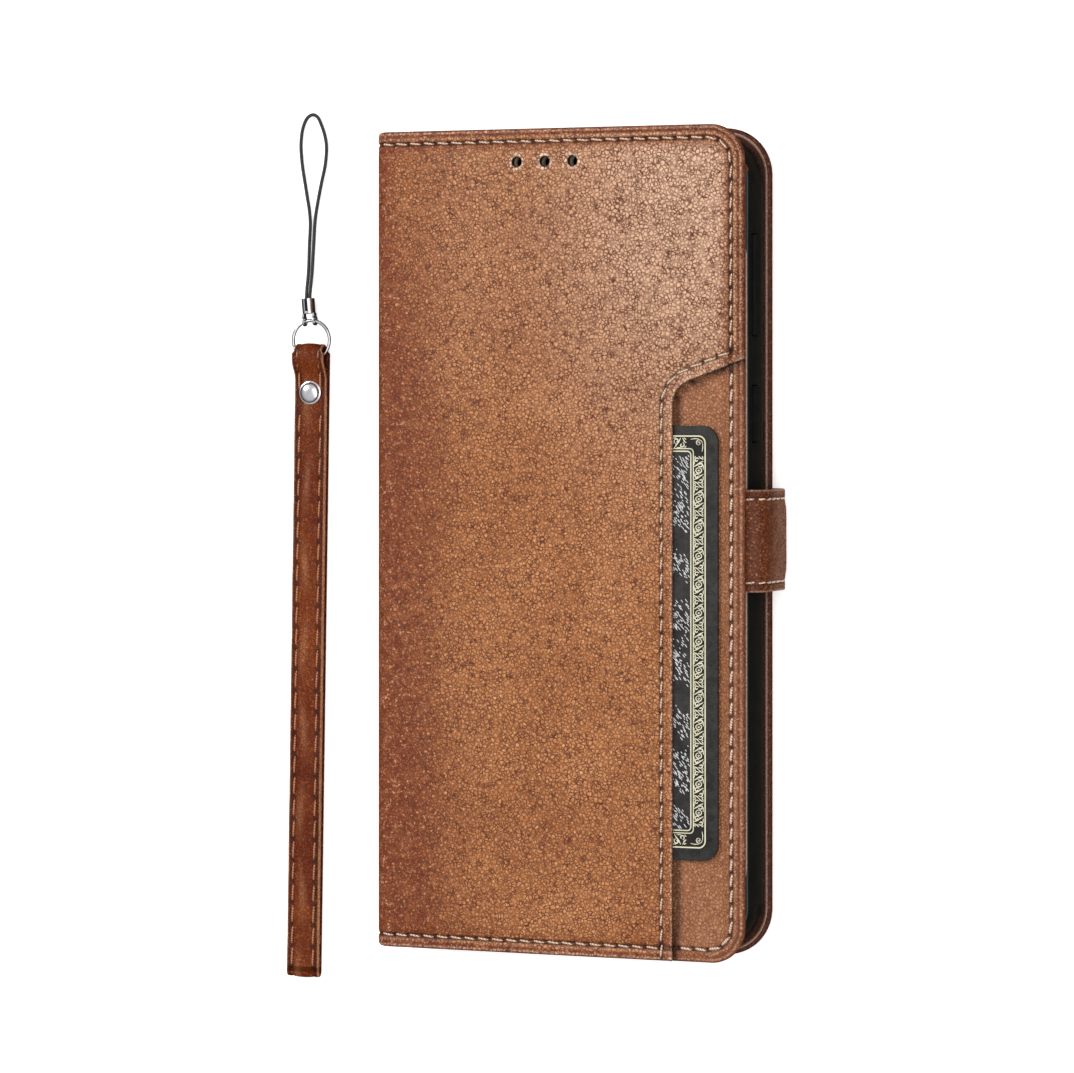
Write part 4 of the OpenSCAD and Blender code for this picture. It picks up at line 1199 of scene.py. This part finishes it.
def polar(cy, cz, r, angles):
    return [(cy + r * math.cos(math.radians(a)), cz + r * math.sin(math.radians(a))) for a in angles]


def climb(y):
    """How much higher than BAND_Z the upper layer lies, on its way to the fold over the ring."""
    return 2.0 * float(ease(y, -8.4, -4.0))


def band_line():
    """The band's closed line: the lower end, the under layer, the fold over the ring and the upper layer."""
    low = polar(BAND_LOW + BAND_T, BAND_T, BAND_T, np.linspace(90, 270, 13))
    under = [(y, 0.0) for y in np.arange(BAND_LOW + 2.2, FOLD_Y - 0.5, 1.1)]
    fold = polar(FOLD_Y, FOLD_OUT, FOLD_OUT, np.linspace(-90, 90, 21))
    ramp = [(y, BAND_Z + climb(y)) for y in np.arange(-3.6, -8.6, -0.4)]
    over = [(y, BAND_Z) for y in np.arange(-9.0, BAND_LOW + 1.4, -1.1)]
    return low + under + fold + ramp + over


def band_top(w):
    e = BAND_HALF - abs(w)
    return float(-rolled(e, 0.28) - 0.12 * dip(abs(w), BAND_SEAM, 0.24) + 0.12 * ease(2.1 - abs(w), 0, 1.4)
                 - 0.06 * dip(e, 0.42, 0.12))


def band_tones(y, w, h, on_top):
    """burn, pale, dark and crease at a point of the band."""
    e, aw = BAND_HALF - abs(w), abs(w)
    hole = math.exp(-(((y - BAND_LOW - 2.0) / BAND_PITCH + 0.5) % 1 - 0.5) ** 2 / 0.012)
    burn = 0.9 * ease(0.75 - e, 0, 0.3) + (0.8 if h < -0.4 else 0)
    # pale: painted highlights along the top edges and a wandering painted highlight streak
    pale = (0.75 * dip(e, 0.14, 0.14) * (h > -0.3) + (0.55 if on_top and e < 0.01 else 0)
            + 0.13 * dip(w, -0.6 + 0.5 * math.sin(y * 0.2), 0.7) * (1 + math.sin(y * 0.37)) * (h > -0.5))
    # dark: painted shade in the stitch holes, beside the seams and near the edges
    dark = (0.85 * hole * dip(aw, BAND_SEAM, 0.4) + 0.6 * dip(e, 0.5, 0.12)
            + 0.5 * dip(aw, BAND_SEAM + 0.28, 0.14) + 0.3 * dip(aw, 2.05, 0.1))
    return float(burn), float(pale), float(dark), 0.7 * float(on_top) * (0.5 + 0.5 * math.sin(y * 0.06 + 2))


def make_band():
    line = np.array(band_line())
    t = np.roll(line, -1, 0) - np.roll(line, 1, 0)
    t /= np.linalg.norm(t, axis=1)[:, None]
    n = np.stack([t[:, 1], -t[:, 0]], 1)
    run = np.concatenate([[0], np.cumsum(np.linalg.norm(np.diff(line, axis=0), axis=1))])
    section = strip_section(BAND_HALF, BAND_T - 0.03, band_top)
    rings, rest, tones = [], [], []
    for (y, z), (ny, nz), s in zip(line, n, run):
        nip = 1 - 0.5 / BAND_HALF * float(ease(y, -2.9, -2.1))
        on_top = nz > 0.7 and y < -12
        ring = []
        for w, h in section:
            rise = 0.0
            if on_top and h > -0.5:
                rise = 0.07 * math.sin(y * 0.31 + w * 0.5) * math.sin(y * 0.083) + 0.03 * math.sin(y * 0.9 + w)
            ring.append((w * nip, y + ny * (h + rise), z + nz * (h + rise)))
            rest.append((s, w, h))
            tones.append(band_tones(y, w, h, on_top))
        rings.append(ring)
    verts, faces = loft(rings, closed=True)
    burn, pale, dark, crease = zip(*tones)
    obj = build("strap_band", verts, faces, strap_leather, "strap_leather", STRAP, rest=rest,
                burn=burn, pale=pale, dark=dark, crease=crease)
    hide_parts("wrist_strap_band")
    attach(obj, "wrist_strap")


make_band()
strap_seams = []
holes = seam_points([(0, BAND_LOW + 2.0), (0, -1.8)], BAND_PITCH)
for (_, a), (_, b) in zip(holes, holes[1:]):
    if abs((a + b) / 2 - RIVET_Y) < 2.2:
        continue
    z0, z1 = (BAND_Z - 0.04 + climb(y) for y in (a + 0.4, b - 0.4))
    for w in (-BAND_SEAM, BAND_SEAM):
        strap_seams.append(((w - 0.1, a + 0.4, z0), (w + 0.1, b - 0.4, z1), (0, 0, 1)))
        strap_seams.append(((w - 0.06, a + 0.55, 0.06), (w + 0.06, b - 0.55, 0.06), (0, 0, -1)))
strap_threads = strands("strap_thread", strap_seams, dark_thread, "dark_thread", STRAP, thick=0.4, wide=0.42)
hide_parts("wrist_strap_stitching")
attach(strap_threads, "wrist_strap")

# the rivet's dome, turned about its upright axis from (radius, height) points, from its middle to its rim
dome = [(0.05, 1.1)]
dome += [(2.05 * math.sin(math.radians(a)), 0.3 + 0.8 * math.cos(math.radians(a))) for a in range(8, 89, 8)]
dome += [(2.08, 0.24), (2.2, 0.19), (2.36, 0.17), (2.44, 0.11), (2.45, 0.03), (2.4, 0.0), (0.3, 0.0)]
rings = [[(x, y, BAND_Z + 0.02 + z) for x, y in circle(0, RIVET_Y, r, 64)] for r, z in dome]
verts, faces = loft(rings)
rivet = build("rivet_dome", verts, [f[::-1] for f in faces], nickel, "nickel", STRAP)
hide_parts("rivet_cap")
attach(rivet, "wrist_strap")
RING_R, WIRE_R, RING_Z = 4.05, 0.35, 2.0
rings = []
for k in range(181):
    a = math.radians(203 + 357.4 * k / 180)
    centre = np.array([RING_R * math.cos(a), RING_R * math.sin(a), RING_Z])
    out = np.array([math.cos(a), math.sin(a), 0])
    end = min(k, 180 - k)
    r = WIRE_R * (0.8 if end == 0 else 0.95 if end == 1 else 1)
    rings.append([centre + r * (math.cos(t) * out + math.sin(t) * np.array([0, 0, 1.0]))
                  for t in np.linspace(0, 2 * math.pi, 17)[:-1]])
verts, faces = loft(rings)
split_ring = build("split_ring", verts, faces, nickel, "nickel", STRAP)
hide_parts("strap_ring")
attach(split_ring, "ring")

# ---------------------------------------------------------------- CAD nodes that stay
KEPT = {
    "phone_tray": (tray_black, 0.35), "volume_button": (tray_black, 0.25), "power_button": (tray_black, 0.25),
    "back_board": (board_grey, 0), "front_board": (board_grey, 0), "spine_stiffener": (board_grey, 0),
    "tray_adhesive": (glue_white, 0), "clasp_catch_plate": (steel, 0.08), "clasp_magnet": (magnet, 0.1),
    "rivet_post": (nickel_cad, 0.08), "cord_crimp": (nickel_cad, 0.12),
}
for name, (material, bevel) in KEPT.items():
    node = nodes[name]
    node.data.materials.clear()
    node.data.materials.append(material)
    if bevel:
        node.modifiers.new("weld", "WELD").merge_threshold = 2e-6
        edge = node.modifiers.new("bevel", "BEVEL")
        edge.width = bevel / 1000
        edge.segments = 3
        edge.limit_method = "ANGLE"
        edge.angle_limit = math.radians(35)
        edge.harden_normals = True

# ---------------------------------------------------------------- stage and light
floor_mesh = bpy.data.meshes.new("floor")
floor_mesh.from_pydata([(-3, -3, 0), (3, -3, 0), (3, 3, 0), (-3, 3, 0)], [], [(0, 1, 2, 3)])
floor = bpy.data.objects.new("floor", floor_mesh)
bpy.context.scene.collection.objects.link(floor)
paper = Shader("paper", 0.9, Specular_IOR_Level=0.1, Emission_Color=(1, 1, 1, 1), Emission_Strength=0.4)
paper_tone = paper.noise(paper.place(False), 0.02, 2.0)
paper_tones = [(0.2, (0.9, 0.9, 0.9, 1)), (0.8, (0.93, 0.93, 0.93, 1))]
floor_mesh.materials.append(paper.finish(paper.ramp(paper_tone, paper_tones)))
floor.visible_glossy = False


def area_light(name, at, aim, size, power):
    light = bpy.data.lights.new(name, "AREA")
    light.energy = power
    light.size = size
    obj = bpy.data.objects.new(name, light)
    obj.location = at
    obj.rotation_euler = (Vector(aim) - Vector(at)).to_track_quat("-Z", "Y").to_euler()
    bpy.context.scene.collection.objects.link(obj)


area_light("key", (-0.85, 0.55, 0.85), (0.0, 0.02, 0), 0.45, 9.5)
area_light("fill", (0.9, -0.5, 1.1), (0.0, 0, 0), 0.9, 5)
area_light("top", (0.55, 0.25, 1.5), (0.0, 0, 0), 1.0, 6.5)
world = bpy.data.worlds.new("studio")
world.use_nodes = True
sky = world.node_tree
up = sky.nodes.new("ShaderNodeSeparateXYZ")
sky.links.new(sky.nodes.new("ShaderNodeTexCoord").outputs["Generated"], up.inputs[0])
dome_light = sky.nodes.new("ShaderNodeMapRange")
for index, value in ((1, -0.02), (2, 0.75), (3, 0.02), (4, 0.85)):
    dome_light.inputs[index].default_value = value
sky.links.new(up.outputs[2], dome_light.inputs[0])
sky.links.new(dome_light.outputs[0], sky.nodes["Background"].inputs[1])
sky.nodes["Background"].inputs[0].default_value = (1, 1, 1, 1)
bpy.context.scene.world = world
bpy.context.scene.view_settings.view_transform = "Standard"
